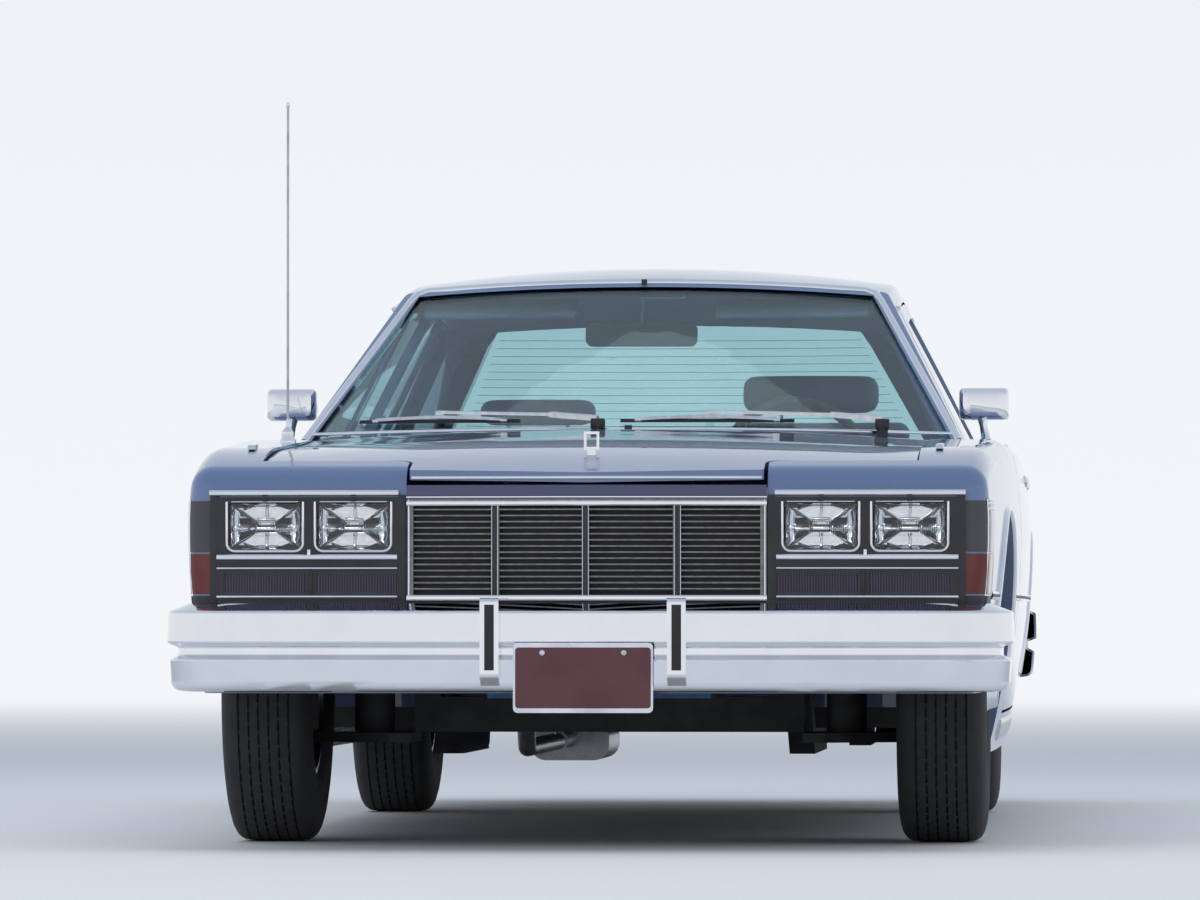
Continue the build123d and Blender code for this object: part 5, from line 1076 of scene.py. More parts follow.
SEAT_X = (0.172, 0.638)
CUSHION = [(-0.245, 0.372), (0.232, 0.372), (0.214, 0.502), (-0.06, 0.528), (-0.245, 0.535)]
BACK_SLOPE = 0.100 / 0.660
CHANNEL_PITCH = 0.058
FRONT_BACKS = (("driver", 1, 1.022, 0.379, 0.172, (1.030, 1.123)),
               ("passenger", -1, 0.992, 0.315, 0.148, (1.000, 1.064)))
middle_x = sum(SEAT_X) / 2
channel_xs = [middle_x + CHANNEL_PITCH * (i - 2.5) for i in range(6)]
for who, turn, top, rest_x, rest_half, rest_z in FRONT_BACKS:
    def on_top(spot, normal):
        return normal.z > 0.35 and spot.y > -0.205

    def on_front(spot, normal):
        return normal.y < -0.35 and spot.z > 0.56 and spot.z < top - 0.085

    seams = [(0, turn * x, on_top) for x in channel_xs]
    seams.append((1, -0.205, lambda spot, normal: normal.z > 0.2))
    cushion = pad(f"seat_cushion_{who}", "car_body", CUSHION, "x", SEAT_X, seams=seams, turn=turn)
    back = [(0.258, 0.372), (0.345, 0.372), (0.345 + BACK_SLOPE * (top - 0.372), top),
            (0.258 + BACK_SLOPE * (top - 0.372), top)]
    seams = [(0, turn * x, on_front) for x in channel_xs]
    seams.append((2, top - 0.085, lambda spot, normal: normal.y < -0.2))
    backrest = pad(f"seat_back_{who}", "car_body", back, "x", SEAT_X, seams=seams, turn=turn)
    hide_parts("front_seats")
    y = 0.300 + BACK_SLOPE * (rest_z[0] - 0.372)
    rest = [(y - 0.044, rest_z[0]), (y + 0.038, rest_z[0]), (y + 0.046, rest_z[1]), (y - 0.030, rest_z[1])]
    pad(f"head_restraint_{who}", "car_body", rest, "x", (rest_x - rest_half, rest_x + rest_half), 0.006, 0.010,
        made=VINYL, turn=turn)
    frame_piece = Piece(f"seat_frame_{who}", "car_body", "trim")
    for x in (rest_x - 0.075, rest_x + 0.075):
        frame_piece.tube([(x, y - 0.002, top - 0.03), (x, y + 0.003, rest_z[0] + 0.012)], 0.006, CHROME)
    frame_piece.prism("x", SEAT_X[0] + 0.01, SEAT_X[1] - 0.01,
                      [(-0.235, 0.304), (0.30, 0.304), (0.33, 0.372), (-0.245, 0.372)], VINYL, 0.006)
    for x in (SEAT_X[0] - 0.004, SEAT_X[1] + 0.004):
        frame_piece.prism("x", x - 0.006, x + 0.006,
                          [(-0.20, 0.330), (0.24, 0.330), (0.30, 0.42), (0.33, 0.55), (0.30, 0.55), (0.24, 0.395),
                           (-0.20, 0.385)], DASH, 0.004)
        frame_piece.lathe([(0.022, -0.002), (0.020, 0.004), (0.0, 0.005)], (x, 0.302, 0.50),
                          (1 if x > middle_x else -1, 0, 0), CHROME, 20)
    frame_piece.make(turn)
    piping = Piece(f"seat_piping_{who}", "car_body", "cloth")
    piping.block((SEAT_X[0] - 0.012, 0.335, 0.41), (SEAT_X[0] - 0.002, 0.350, 0.43), VINYL)
    piping.make(turn)

rear_xs = [side * (0.145 + CHANNEL_PITCH * i) for side in (1, -1) for i in range(7)]
REAR_CUSHION = [(0.862, 0.455), (1.045, 0.440), (1.045, 0.532), (0.67, 0.562), (0.655, 0.482)]
seams = [(0, x, lambda spot, normal: normal.z > 0.35 and spot.y > 0.70) for x in rear_xs]
seams.append((1, 0.70, lambda spot, normal: normal.z > 0.2))
thing = pad("rear_seat_cushion", "car_body", REAR_CUSHION, "x", (-0.568, 0.568), seams=seams)
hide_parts("rear_seat")
REAR_BACK = [(1.118, 0.545), (1.215, 0.545), (1.318, 0.868), (1.248, 0.868)]
seams = [(0, x, lambda spot, normal: normal.y < -0.35 and 0.60 < spot.z < 0.80) for x in rear_xs]
seams.append((2, 0.805, lambda spot, normal: normal.y < -0.2))
pad("rear_seat_back", "car_body", REAR_BACK, "x", (-0.568, 0.568), seams=seams)


# Cabin linings, found by rays from inside the cabin

def lining(name, body, slot, surface, origins, towards, made, lift, reach=2.0):
    """A sheet that lies just inside a surface: rows of origins, all sent one way."""
    piece = Piece(name, body, slot)
    rows = []
    for row in origins:
        hits = [struck(surface, origin, towards) for origin in row]
        rows.append([hit[0] - Vector(towards) * lift if hit and (hit[0] - Vector(origin)).length < reach else None
                     for hit, origin in zip(hits, row)])
    cache = {}
    number = piece.number(made)
    for r in range(len(rows) - 1):
        for c in range(len(rows[0]) - 1):
            keys = ((r, c), (r, c + 1), (r + 1, c + 1), (r + 1, c))
            spots = [rows[a][b] for a, b in keys]
            if None in spots or max((spots[i] - spots[i - 1]).length for i in range(4)) > 0.35:
                continue
            for key, spot in zip(keys, spots):
                if key not in cache:
                    cache[key] = piece.mesh.verts.new(spot)
            piece.mesh.faces.new([cache[key] for key in keys]).material_index = number
    return piece


def grid(xs, ys, put):
    return [[put(x, y) for y in ys] for x in xs]


cabin = tree("floor_pan")
carpet = lining("carpet", "car_body", "cloth", cabin,
                grid(spread(-0.745, 0.745, 61), spread(-0.995, 0.845, 60), lambda x, y: (x, y, 0.56)), (0, 0, -1),
                CARPET, 0.008)
carpet.make(outward=False)
liner = lining("headliner", "car_body", "cloth", tree("roof"),
               grid(spread(-0.60, 0.60, 41), spread(-0.30, 1.20, 46), lambda x, y: (x, y, 1.15)), (0, 0, 1),
               HEADLINER, 0.006, 0.24)
liner.make(outward=False)
shelf = lining("parcel_shelf", "car_body", "cloth", tree("rear_deck"),
               grid(spread(-0.62, 0.62, 21), spread(1.345, 1.60, 9), lambda x, y: (x, y, 0.99)), (0, 0, -1),
               VINYL, 0.004)
for x in (-0.42, 0.42):
    for i in range(9):
        shelf.block((x - 0.075, 1.405 + 0.013 * i, 0.924), (x + 0.075, 1.411 + 0.013 * i, 0.9295), BLACK, 0.001)
shelf.make(outward=False)

# Door panels with arm rest, handle, window crank and a carpet strip
DOORS = (("front", -0.830, 0.075, -0.52), ("rear", 0.235, 0.880, 0.40))
for side, sign in SIDES:
    for end, low_y, high_y, handle_y in DOORS:
        surface = tree(f"door_{end}_left")
        body = f"{end}_door_{side}"

        def inner(y, z):
            hit = struck(surface, (0.30, y, z), (1, 0, 0))
            return hit[0].x if hit else None

        face_x = min(x for x in (inner(y, 0.60) for y in spread(low_y + 0.05, high_y - 0.05, 5)) if x)
        card = Piece(f"door_card_{end}_{side}", body, "trim")
        x = face_x - 0.001
        outline = rounded_rectangle((low_y + high_y) / 2, 0.625, (high_y - low_y) / 2, 0.265, 0.03, 5)
        card.prism("x", x - 0.010, x, outline, VINYL, 0.004)
        card.prism("x", x - 0.0135, x - 0.009,
                   rounded_rectangle((low_y + high_y) / 2, 0.765, (high_y - low_y) / 2 - 0.03, 0.085, 0.02, 5), CLOTH,
                   0.003)
        card.prism("x", x - 0.0135, x - 0.009,
                   rounded_rectangle((low_y + high_y) / 2, 0.425, (high_y - low_y) / 2 - 0.03, 0.045, 0.015, 5), CARPET,
                   0.003)
        for z in (0.672, 0.486):
            card.sweep([(x - 0.010, y, z) for y in spread(low_y + 0.03, high_y - 0.03, 7)], crowned(0.006, 0.003),
                       CHROME, (-1, 0, 0))
        arm_y = handle_y + 0.26
        card.prism("y", arm_y - 0.17, arm_y + 0.17,
                   [(x - 0.010, 0.566), (x - 0.010, 0.640), (x - 0.058, 0.640), (x - 0.062, 0.610), (x - 0.034, 0.566)],
                   VINYL, 0.008)
        card.sweep([(x - 0.011, handle_y - 0.075, 0.700), (x - 0.024, handle_y - 0.06, 0.700),
                    (x - 0.026, handle_y + 0.02, 0.700), (x - 0.013, handle_y + 0.05, 0.700)],
                   [(-0.008, -0.0025), (0.008, -0.0025), (0.008, 0.0025), (-0.008, 0.0025)], CHROME, (-1, 0, 0))
        card.lathe([(0.026, -0.009), (0.025, -0.015), (0.012, -0.020), (0.010, -0.034), (0.0, -0.036)],
                   (x, handle_y + 0.02, 0.560), (1, 0, 0), CHROME, 24)
        card.sweep([(x - 0.030, handle_y + 0.02, 0.560), (x - 0.034, handle_y + 0.07, 0.527),
                    (x - 0.036, handle_y + 0.095, 0.512)],
                   [(-0.009, -0.0025), (0.009, -0.0025), (0.007, 0.0025), (-0.007, 0.0025)], CHROME, (-1, 0, 0))
        card.lathe([(0.010, -0.030), (0.012, -0.040), (0.011, -0.056), (0.0, -0.058)],
                   (x, handle_y + 0.097, 0.510), (1, 0, 0), VINYL, 16)
        card.lathe([(0.004, 0.0), (0.005, 0.022), (0.004, 0.026), (0.0, 0.027)], (x + 0.03, high_y - 0.045, 0.899),
                   (0, 0, 1), CHROME, 12)
        card.make(sign)

# Dashboard: hooded cluster, dials, wood band, vents, radio and glove box
dash_skin = tree("dashboard")


def dash_face(x, z):
    hit = struck(dash_skin, (x, -0.10, z), (0, -1, 0))
    return hit[0].y if hit else -0.6


panel = Piece("dash_trim", "car_body", "trim")


def panel_plate(x, z, half_x, half_z, made, thick=0.004, corner=0.008, lift=0.0):
    """A flat plate parallel to the dashboard's sloping face."""
    low_y, high_y = dash_face(x, z - half_z), dash_face(x, z + half_z)
    slope = (high_y - low_y) / (2 * half_z)
    rings = []
    for back, inset in ((-0.003, 0.0), (thick + lift, 0.0), (thick + lift + 0.001, 0.0015)):
        ring = []
        for a, b in rounded_rectangle(x, z, half_x - inset, half_z - inset, corner, 4):
            ring.append((a, (low_y + high_y) / 2 + slope * (b - z) + back, b))
        rings.append(ring)
    panel.skin(rings, made)
    return lambda a, b, out: (a, (low_y + high_y) / 2 + slope * (b - z) + thick + lift + out, b)


panel_plate(0.366, 0.800, 0.240, 0.048, BLACK, 0.006)
put = panel_plate(0.366, 0.800, 0.228, 0.040, DIAL, 0.006, 0.006, 0.002)
panel_plate(-0.40, 0.800, 0.300, 0.034, WOOD, 0.004)
panel_plate(0.02, 0.800, 0.085, 0.048, BLACK, 0.006)
panel_plate(0.0, 0.668, 0.120, 0.036, BLACK, 0.005)
panel_plate(-0.40, 0.690, 0.205, 0.046, DASH, 0.005)
panel_plate(0.66, 0.800, 0.050, 0.036, BLACK, 0.005)
for x, radius in ((0.250, 0.030), (0.366, 0.030), (0.482, 0.030)):
    spot = put(x, 0.800, 0.0)
    panel.lathe([(radius + 0.003, -0.001), (radius + 0.003, 0.003), (radius, 0.003), (radius, 0.0015), (0.0, 0.0015)],
                spot, (0, 1, 0), SATIN, 32)
    panel.lathe([(radius - 0.0005, 0.001), (radius - 0.0005, 0.0018), (0.0, 0.0018)], spot, (0, 1, 0), DIAL, 32)
    for i in range(11):
        t = math.radians(-120 + 24 * i)
        a = Vector((spot[0] + math.sin(t) * radius * 0.72, spot[1] + 0.0022, spot[2] + math.cos(t) * radius * 0.72))
        b = Vector((spot[0] + math.sin(t) * radius * 0.92, spot[1] + 0.0022, spot[2] + math.cos(t) * radius * 0.92))
        panel.sweep([a, (a + b) / 2, b], [(-0.0006, 0), (0.0006, 0), (0, 0.0004)], MARK, (0, 1, 0))
    t = math.radians(-120 + 40)
    panel.sweep([(spot[0], spot[1] + 0.0026, spot[2]),
                 (spot[0] + math.sin(t) * radius * 0.4, spot[1] + 0.0026, spot[2] + math.cos(t) * radius * 0.4),
                 (spot[0] + math.sin(t) * radius * 0.8, spot[1] + 0.0026, spot[2] + math.cos(t) * radius * 0.8)],
                [(-0.0008, 0), (0.0008, 0), (0, 0.0006)], AMBER, (0, 1, 0))
for x, z, count in ((-0.62, 0.800, 5), (0.66, 0.800, 5), (0.02, 0.826, 4)):
    for i in range(count):
        b = z - 0.02 + 0.04 * i / (count - 1) if count == 5 else z - 0.008 + 0.016 * i / (count - 1)
        y = dash_face(x, b)
        panel.block((x - 0.038, y + 0.004, b - 0.0018), (x + 0.038, y + 0.014, b + 0.0018), SATIN if i % 2 else BLACK,
                    0.0006, 1)
for x in (-0.085, 0.085):
    y = dash_face(x, 0.668)
    panel.lathe([(0.013, 0.003), (0.012, 0.012), (0.009, 0.022), (0.0, 0.023)], (x, y, 0.668), (0, 1, 0), CHROME, 20)
y = dash_face(0.0, 0.668)
panel.block((-0.055, y + 0.004, 0.660), (0.055, y + 0.009, 0.682), DIAL, 0.002)
for i in range(5):
    panel.block((-0.050 + 0.0215 * i, y + 0.004, 0.640), (-0.034 + 0.0215 * i, y + 0.014, 0.650), SATIN, 0.002)
y = dash_face(-0.40, 0.72)
panel.lathe([(0.013, 0.004), (0.012, 0.010), (0.006, 0.012), (0.0, 0.012)], (-0.40, y, 0.722), (0, 1, 0), CHROME, 20)
for x in (0.19, 0.54):
    y = dash_face(x, 0.72)
    panel.lathe([(0.011, 0.0), (0.010, 0.010), (0.007, 0.016), (0.0, 0.017)], (x, y, 0.715), (0, 1, 0), CHROME, 16)
path = [(x, dash_face(x, 0.862) - 0.004, 0.868) for x in spread(-0.70, 0.70, 21)]
panel.sweep(path, crowned(0.010, 0.004), CHROME, (0, 0.8, 0.6))
panel.make()

# Steering wheel: padded hub, spoke plates and horn bars; its column, stalk and shift lever stand still
column_way = Vector((0, -math.cos(STEERING_TILT), -math.sin(STEERING_TILT)))
wheel_up = Vector((0, -math.sin(STEERING_TILT), math.cos(STEERING_TILT)))
across = Vector((1, 0, 0))
turner = Matrix((across, wheel_up, -column_way)).transposed().to_4x4()
turner.translation = STEERING_HUB
hub = Piece("steering_wheel_trim", "steering_wheel_body", "trim")
hub.block((-0.075, -0.042, 0.004), (0.075, 0.042, 0.030), DASH, 0.014, 3, turner)
hub.block((-0.058, -0.016, 0.028), (0.058, 0.016, 0.034), CHROME, 0.003, 2, turner)
for sign in (1, -1):
    hub.block((min(sign * 0.060, sign * 0.178), -0.013, -0.002), (max(sign * 0.060, sign * 0.178), 0.011, 0.010), SATIN,
              0.003, 2, turner)
hub.make()
column = Piece("column_controls", "car_body", "trim")


def from_hub(a, b, back):
    return STEERING_HUB + across * a + wheel_up * b + column_way * back


column.lathe([(0.034, 0.050), (0.040, 0.056), (0.042, 0.12), (0.038, 0.20), (0.034, 0.24)], STEERING_HUB, column_way,
             DASH, 28)
column.tube([from_hub(0.036, 0, 0.085), from_hub(0.11, 0.01, 0.08), from_hub(0.165, 0.014, 0.07)], 0.005, CHROME)
column.lathe([(0.006, 0.0), (0.008, 0.010), (0.007, 0.03), (0.0, 0.032)], from_hub(0.16, 0.0135, 0.0705), (1, 0, -0.05),
             BLACK, 14)
column.tube([from_hub(-0.036, 0, 0.10), from_hub(-0.13, 0.02, 0.085), from_hub(-0.21, 0.035, 0.06)], 0.006, CHROME)
column.lathe([(0.007, 0.0), (0.013, 0.010), (0.013, 0.024), (0.0, 0.030)], from_hub(-0.205, 0.034, 0.062),
             (-1, 0.1, 0.1), BLACK, 16)
column.make()

# Pedals, visors, dome lamp, inner mirror and seat belt buckles
small = Piece("cabin_fittings", "car_body", "trim")
for x, half_x, z, tilt in ((0.30, 0.045, 0.42, 0.5), (0.455, 0.022, 0.39, 0.6)):
    hit = struck(cabin, (x, -0.86, 0.60), (0, 0, -1))
    floor_z = hit[0].z if hit else 0.26
    leaf = Matrix.Translation((x, -0.87, floor_z + 0.105)) @ Matrix.Rotation(-tilt, 4, "X")
    small.block((-half_x, -0.008, -0.045), (half_x, 0.008, 0.045), RUBBER, 0.006, 2, leaf)
    small.tube([(x, -0.885, floor_z + 0.12), (x, -0.93, floor_z + 0.20), (x, -0.95, floor_z + 0.34)], 0.008, STEEL)
for sign in (1, -1):
    low, high = sorted((sign * 0.17, sign * 0.55))
    visor = Matrix.Translation((0, -0.215, 1.272)) @ Matrix.Rotation(math.radians(17), 4, "X")
    small.block((low, -0.075, -0.010), (high, 0.075, 0.008), HEADLINER, 0.009, 3, visor)
small.block((-0.060, 0.34, 1.322), (0.060, 0.46, 1.345), BACKUP, 0.006)
small.block((-0.068, 0.332, 1.336), (0.068, 0.468, 1.349), CHROME, 0.004)
for x in (0.128, -0.128):
    small.block((x - 0.016, 0.235, 0.40), (x + 0.016, 0.262, 0.565), BLACK, 0.006)
    small.block((x - 0.014, 0.236, 0.562), (x + 0.014, 0.261, 0.568), RED, 0.002)
for x in (0.20, 0.075, -0.075, -0.20):
    small.block((x - 0.016, 1.048, 0.545), (x + 0.016, 1.068, 0.610), BLACK, 0.005)
small.make()
glass = Piece("inner_mirror_face", "car_body", "chrome")
back = tree("inner_mirror")
hit = struck(back, (0.05, 0.0, 1.199), (0, -1, 0))
y = hit[0].y if hit else -0.445
glass.prism("y", y - 0.001, y + 0.0008, rounded_rectangle(0, 1.199, 0.130, 0.0235, 0.012, 5), MIRROR)
glass.make()


# Engine bay

bay = Piece("engine_dress", "car_body", "iron")
for sign in (1, -1):
    cover = Matrix.Translation((sign * 0.165, -1.715, 0.640)) @ Matrix.Rotation(sign * 0.62, 4, "Y")
    bay.block((-0.062, -0.265, -0.012), (0.062, 0.265, 0.048), ENGINE_ENAMEL, 0.016, 3, cover)
    for y in (-0.22, 0.0, 0.22):
        bay.lathe([(0.009, 0.0), (0.009, 0.006), (0.005, 0.008), (0.0, 0.008)],
                  cover @ Vector((0, y, 0.047)), cover.to_3x3() @ Vector((0, 0, 1)), STEEL, 6)
    runs = [(sign * 0.262, y, 0.560) for y in spread(-1.95, -1.48, 9)]
    bay.tube(runs, 0.024, IRON, 14)
    for y in (-1.94, -1.79, -1.64, -1.49):
        bay.tube([(sign * 0.235, y, 0.590), (sign * 0.252, y, 0.575), (sign * 0.262, y, 0.560)], 0.019, IRON, 12)
        plug = [(sign * 0.268, y + 0.03, 0.592), (sign * 0.285, y + 0.03, 0.64), (sign * 0.23, y * 0.5 - 0.84, 0.715),
                (sign * 0.10, -1.455, 0.765), (0.0, -1.420, 0.775)]
        bay.tube(plug, 0.004, RUBBER, 8)
bay.lathe([(0.020, 0.0), (0.020, 0.018), (0.014, 0.022), (0.0, 0.022)], (0.180, -1.90, 0.690), (0.5, 0, 0.86), BLACK, 20)
bay.lathe([(0.045, 0.0), (0.052, 0.02), (0.052, 0.06), (0.040, 0.085), (0.0, 0.088)], (0.0, -1.425, 0.715), (0, 0, 1),
          RUBBER, 24)
# air cleaner lid, its wing nut and snorkel
bay.lathe([(0.191, -0.004), (0.193, 0.0), (0.190, 0.004), (0.120, 0.010), (0.112, 0.004), (0.0, 0.004)],
          (0.0, -1.725, 0.8155), (0, 0, 1), BLACK, 64)
bay.lathe([(0.010, 0.0), (0.008, 0.008), (0.0, 0.009)], (0.0, -1.725, 0.8195), (0, 0, 1), CHROME, 12)
bay.block((-0.018, -1.727, 0.823), (0.018, -1.723, 0.831), CHROME, 0.002)
bay.sweep([(-0.14, -1.85, 0.780), (-0.20, -1.95, 0.775), (-0.26, -2.05, 0.755), (-0.29, -2.12, 0.735)],
          rounded_rectangle(0, 0, 0.038, 0.024, 0.012, 4), BLACK)
# pulleys, belt and fan behind the radiator
PULLEYS = ((0.0, 0.415, 0.078), (0.0, 0.585, 0.066), (-0.200, 0.560, 0.040), (0.205, 0.500, 0.060))
for x, z, radius in PULLEYS:
    bay.lathe([(radius * 0.3, -0.004), (radius, 0.0), (radius * 0.90, 0.008), (radius, 0.016), (radius * 0.75, 0.019),
               (radius * 0.7, 0.010), (radius * 0.25, 0.010), (0.0, 0.014)], (x, -2.066, z), (0, -1, 0), STEEL, 32)
for start, stop in ((0, 1), (1, 2), (2, 0), (1, 3), (3, 0)):
    a, b = PULLEYS[start], PULLEYS[stop]
    way = Vector((b[0] - a[0], 0, b[1] - a[1])).normalized()
    out = Vector((-way.z, 0, way.x)) * (-1 if stop == 3 or start == 3 else 1)
    low = Vector((a[0], -2.074, a[1])) + out * a[2]
    high = Vector((b[0], -2.074, b[1])) + out * b[2]
    bay.sweep([low, (low + high) / 2, high], [(-0.005, -0.003), (0.005, -0.003), (0.005, 0.003), (-0.005, 0.003)],
              RUBBER, (1, 0, 0.3))
bay.lathe([(0.045, 0.0), (0.062, 0.01), (0.062, 0.09), (0.045, 0.10)], (-0.200, -1.955, 0.560), (0, -1, 0), STEEL, 28)
bay.lathe([(0.038, 0.0), (0.050, 0.012), (0.050, 0.022), (0.0, 0.024)], (0.0, -2.092, 0.585), (0, -1, 0), STEEL, 24)
for i in range(7):
    other = bmesh.new()
    corners = [(-0.016, 0, 0.03), (0.016, 0, 0.03), (0.040, 0.012, 0.195), (-0.036, -0.008, 0.195)]
    rows = [[other.verts.new(Vector(corner) + Vector((0, lift, 0))) for corner in corners] for lift in (-0.0012, 0.0012)]
    other.faces.new(rows[0][::-1])
    other.faces.new(rows[1])
    for j in range(4):
        k = (j + 1) % 4
        other.faces.new((rows[0][j], rows[0][k], rows[1][k], rows[1][j]))
    spin = Matrix.Translation((0.0, -2.135, 0.585)) @ Matrix.Rotation(TAU * i / 7, 4, "Y")
    bay.absorb(other, STEEL, spin)
bay.lathe([(0.026, -0.022), (0.026, 0.022), (0.0, 0.024)], (0.0, -2.125, 0.585), (0, -1, 0), BLACK, 20)
bay.tube([(0.055, -2.01, 0.735), (0.10, -2.12, 0.765), (0.19, -2.23, 0.765), (0.235, -2.285, 0.758)], 0.021, RUBBER, 14)
bay.tube([(-0.12, -2.06, 0.50), (-0.17, -2.16, 0.47), (-0.21, -2.23, 0.475), (-0.245, -2.288, 0.478)], 0.021, RUBBER, 14)
bay.make()

# radiator: fins, tubes, tanks and cap
core = Piece("radiator_core", "car_body", "iron")
for y in (-2.3412, -2.2888):
    for i in range(29):
        x = -0.27 + 0.54 * i / 28
        core.block((x - 0.0012, y - 0.0008, 0.455), (x + 0.0012, y + 0.0008, 0.765), SATIN, 0.0, 1)
    for i in range(24):
        z = 0.462 + 0.296 * i / 23
        core.block((-0.275, y - 0.0004, z - 0.0006), (0.275, y + 0.0004, z + 0.0006), BLACK, 0.0, 1)
for sign in (1, -1):
    core.block((min(sign * 0.284, sign * 0.330), -2.3425, 0.428), (max(sign * 0.284, sign * 0.330), -2.2875, 0.787), BLACK,
               0.010)
core.lathe([(0.024, 0.0), (0.028, 0.003), (0.028, 0.010), (0.020, 0.014), (0.0, 0.014)], (-0.306, -2.315, 0.786),
           (0, 0, 1), CHROME, 24)
core.make()

# battery, brake booster, washer bottle, wiper motor and heater box
fittings = Piece("bay_fittings", "car_body", "trim")
fittings.block((0.395, -2.215, 0.520), (0.580, -1.990, 0.545), BLACK, 0.004)
fittings.block((0.400, -2.210, 0.545), (0.575, -1.995, 0.715), BLACK, 0.006)
fittings.block((0.398, -2.212, 0.700), (0.577, -1.993, 0.722), make_plastic("battery_lid", (0.06, 0.06, 0.065), 0.4), 0.004)
for i in range(6):
    fittings.lathe([(0.011, 0.0), (0.010, 0.005), (0.0, 0.006)], (0.462, -2.190 + 0.035 * i, 0.7215), (0, 0, 1), RED, 14)
for y, made in ((-2.185, RED), (-2.020, BLACK)):
    fittings.lathe([(0.010, 0.0), (0.009, 0.016), (0.0, 0.017)], (0.545, y, 0.7215), (0, 0, 1), STEEL, 14)
    fittings.tube([(0.545, y, 0.732), (0.52, y + 0.03, 0.745), (0.42, -1.93, 0.66), (0.33, -1.86, 0.58),
                   (0.245, -1.84, 0.47)], 0.006, made, 8)
fittings.tube([(0.46, -2.2, 0.52), (0.47, -2.15, 0.47), (0.50, -2.1, 0.43)], 0.012, UNDER, 8)
dash_wall = tree("firewall")


def wall_y(x, z):
    hit = struck(dash_wall, (x, -1.40, z), (0, 1, 0))
    return hit[0].y if hit else -1.06


y = wall_y(0.40, 0.690)
fittings.lathe([(0.100, 0.002), (0.122, 0.012), (0.122, 0.060), (0.100, 0.085), (0.040, 0.100), (0.040, 0.108)],
               (0.40, y, 0.690), (0, -1, 0), BLACK, 40)
fittings.block((0.372, y - 0.235, 0.668), (0.428, y - 0.100, 0.712), IRON, 0.008)
fittings.block((0.366, y - 0.232, 0.712), (0.434, y - 0.118, 0.748), STEEL, 0.008)
y = wall_y(-0.36, 0.66)
fittings.block((-0.560, y - 0.115, 0.560), (-0.200, y, 0.760), BLACK, 0.020, 3)
y = wall_y(0.12, 0.83)
fittings.lathe([(0.036, 0.0), (0.040, 0.02), (0.040, 0.085), (0.030, 0.095), (0.0, 0.096)], (0.12, y, 0.835), (0, -1, 0),
               STEEL, 24)
BOTTLE = make_plastic("bottle", (0.62, 0.64, 0.60), 0.45, 200.0, 0.05)
fittings.block((-0.570, -2.200, 0.560), (-0.420, -2.020, 0.700), BOTTLE, 0.022, 3)
fittings.lathe([(0.026, 0.0), (0.026, 0.016), (0.020, 0.020), (0.0, 0.020)], (-0.495, -2.11, 0.698), (0, 0, 1), BLACK, 20)
fittings.tube([(-0.495, -2.12, 0.560), (-0.50, -2.12, 0.50), (-0.51, -2.11, 0.44)], 0.012, UNDER, 8)
fittings.make()

# hood liner: a pressed pad, held up under the hood
under_hood = tree("hood")
liner = lining("hood_liner", "hood", "cloth", under_hood,
               grid(spread(-0.46, 0.46, 25), spread(-2.20, -1.30, 25), lambda x, y: (x, y, 0.70)), (0, 0, 1),
               CARPET, 0.004)
liner.make(outward=False)

# Closing panels between the cowl's ends and the fenders
closing = Piece("cowl_end_panels", "car_body", "paint")
closing.prism("y", -1.152, -1.148, [(0.700, 0.480), (0.872, 0.480), (0.895, 0.700), (0.872, 0.840), (0.800, 0.893),
                                    (0.700, 0.898)], PAINT)
closing.prism("y", -1.050, -1.044, [(0.095, 0.255), (0.235, 0.255), (0.235, 0.520), (0.095, 0.520)], UNDER)
closing.prism("y", -1.050, -1.044, [(0.0, 0.418), (0.100, 0.418), (0.100, 0.520), (0.0, 0.520)], UNDER)
closing.twin()
closing.make()

# Luggage space: side boards, mat and spare wheel
BOARD = make_carpet("luggage_board", (0.020, 0.020, 0.024), (0.045, 0.045, 0.052))
tub = struck(tree("rear_wheelhouses"), (0.0, 1.42, 0.60), (1, 0, 0))
board_x = (tub[0].x if tub else 0.58) - 0.006
for side, sign in SIDES:
    board = Piece(f"luggage_side_{side}", "car_body", "trim")
    board.prism("x", board_x - 0.005, board_x, [(1.345, 0.530), (2.360, 0.530), (2.360, 0.770), (2.300, 0.790),
                                                (1.345, 0.790)], BOARD, 0.002)
    board.make(sign)
trunk_floor = tree("floor_pan")
mat = lining("luggage_mat", "car_body", "cloth", trunk_floor,
             grid(spread(-0.50, 0.50, 21), spread(1.42, 2.40, 21), lambda x, y: (x, y, 0.85)), (0, 0, -1), CARPET, 0.006)
mat.make(outward=False)
hit = struck(trunk_floor, (-0.25, 1.95, 0.85), (0, 0, -1))
spare_z = hit[0].z + 0.008 if hit else 0.53
spare = Piece("spare_wheel", "car_body", "tyre")
tyre_profile = [(0.195, 0.004), (0.255, 0.0), (0.312, 0.014), (0.325, 0.040), (0.325, 0.125), (0.312, 0.151),
                (0.255, 0.165), (0.195, 0.161), (0.190, 0.082)]
spare.skin([[Vector((-0.12 + math.cos(t) * r, 1.90 + math.sin(t) * r, spare_z + h)) for r, h in tyre_profile]
            for t in [TAU * i / 64 for i in range(64)]], TYRE, loop=True)
spare.lathe([(0.194, 0.010), (0.192, 0.030), (0.165, 0.060), (0.150, 0.105), (0.100, 0.120), (0.085, 0.098),
             (0.040, 0.098), (0.036, 0.084), (0.0, 0.084)], (-0.12, 1.90, spare_z), (0, 0, 1), STEEL, 48)
spare.make()
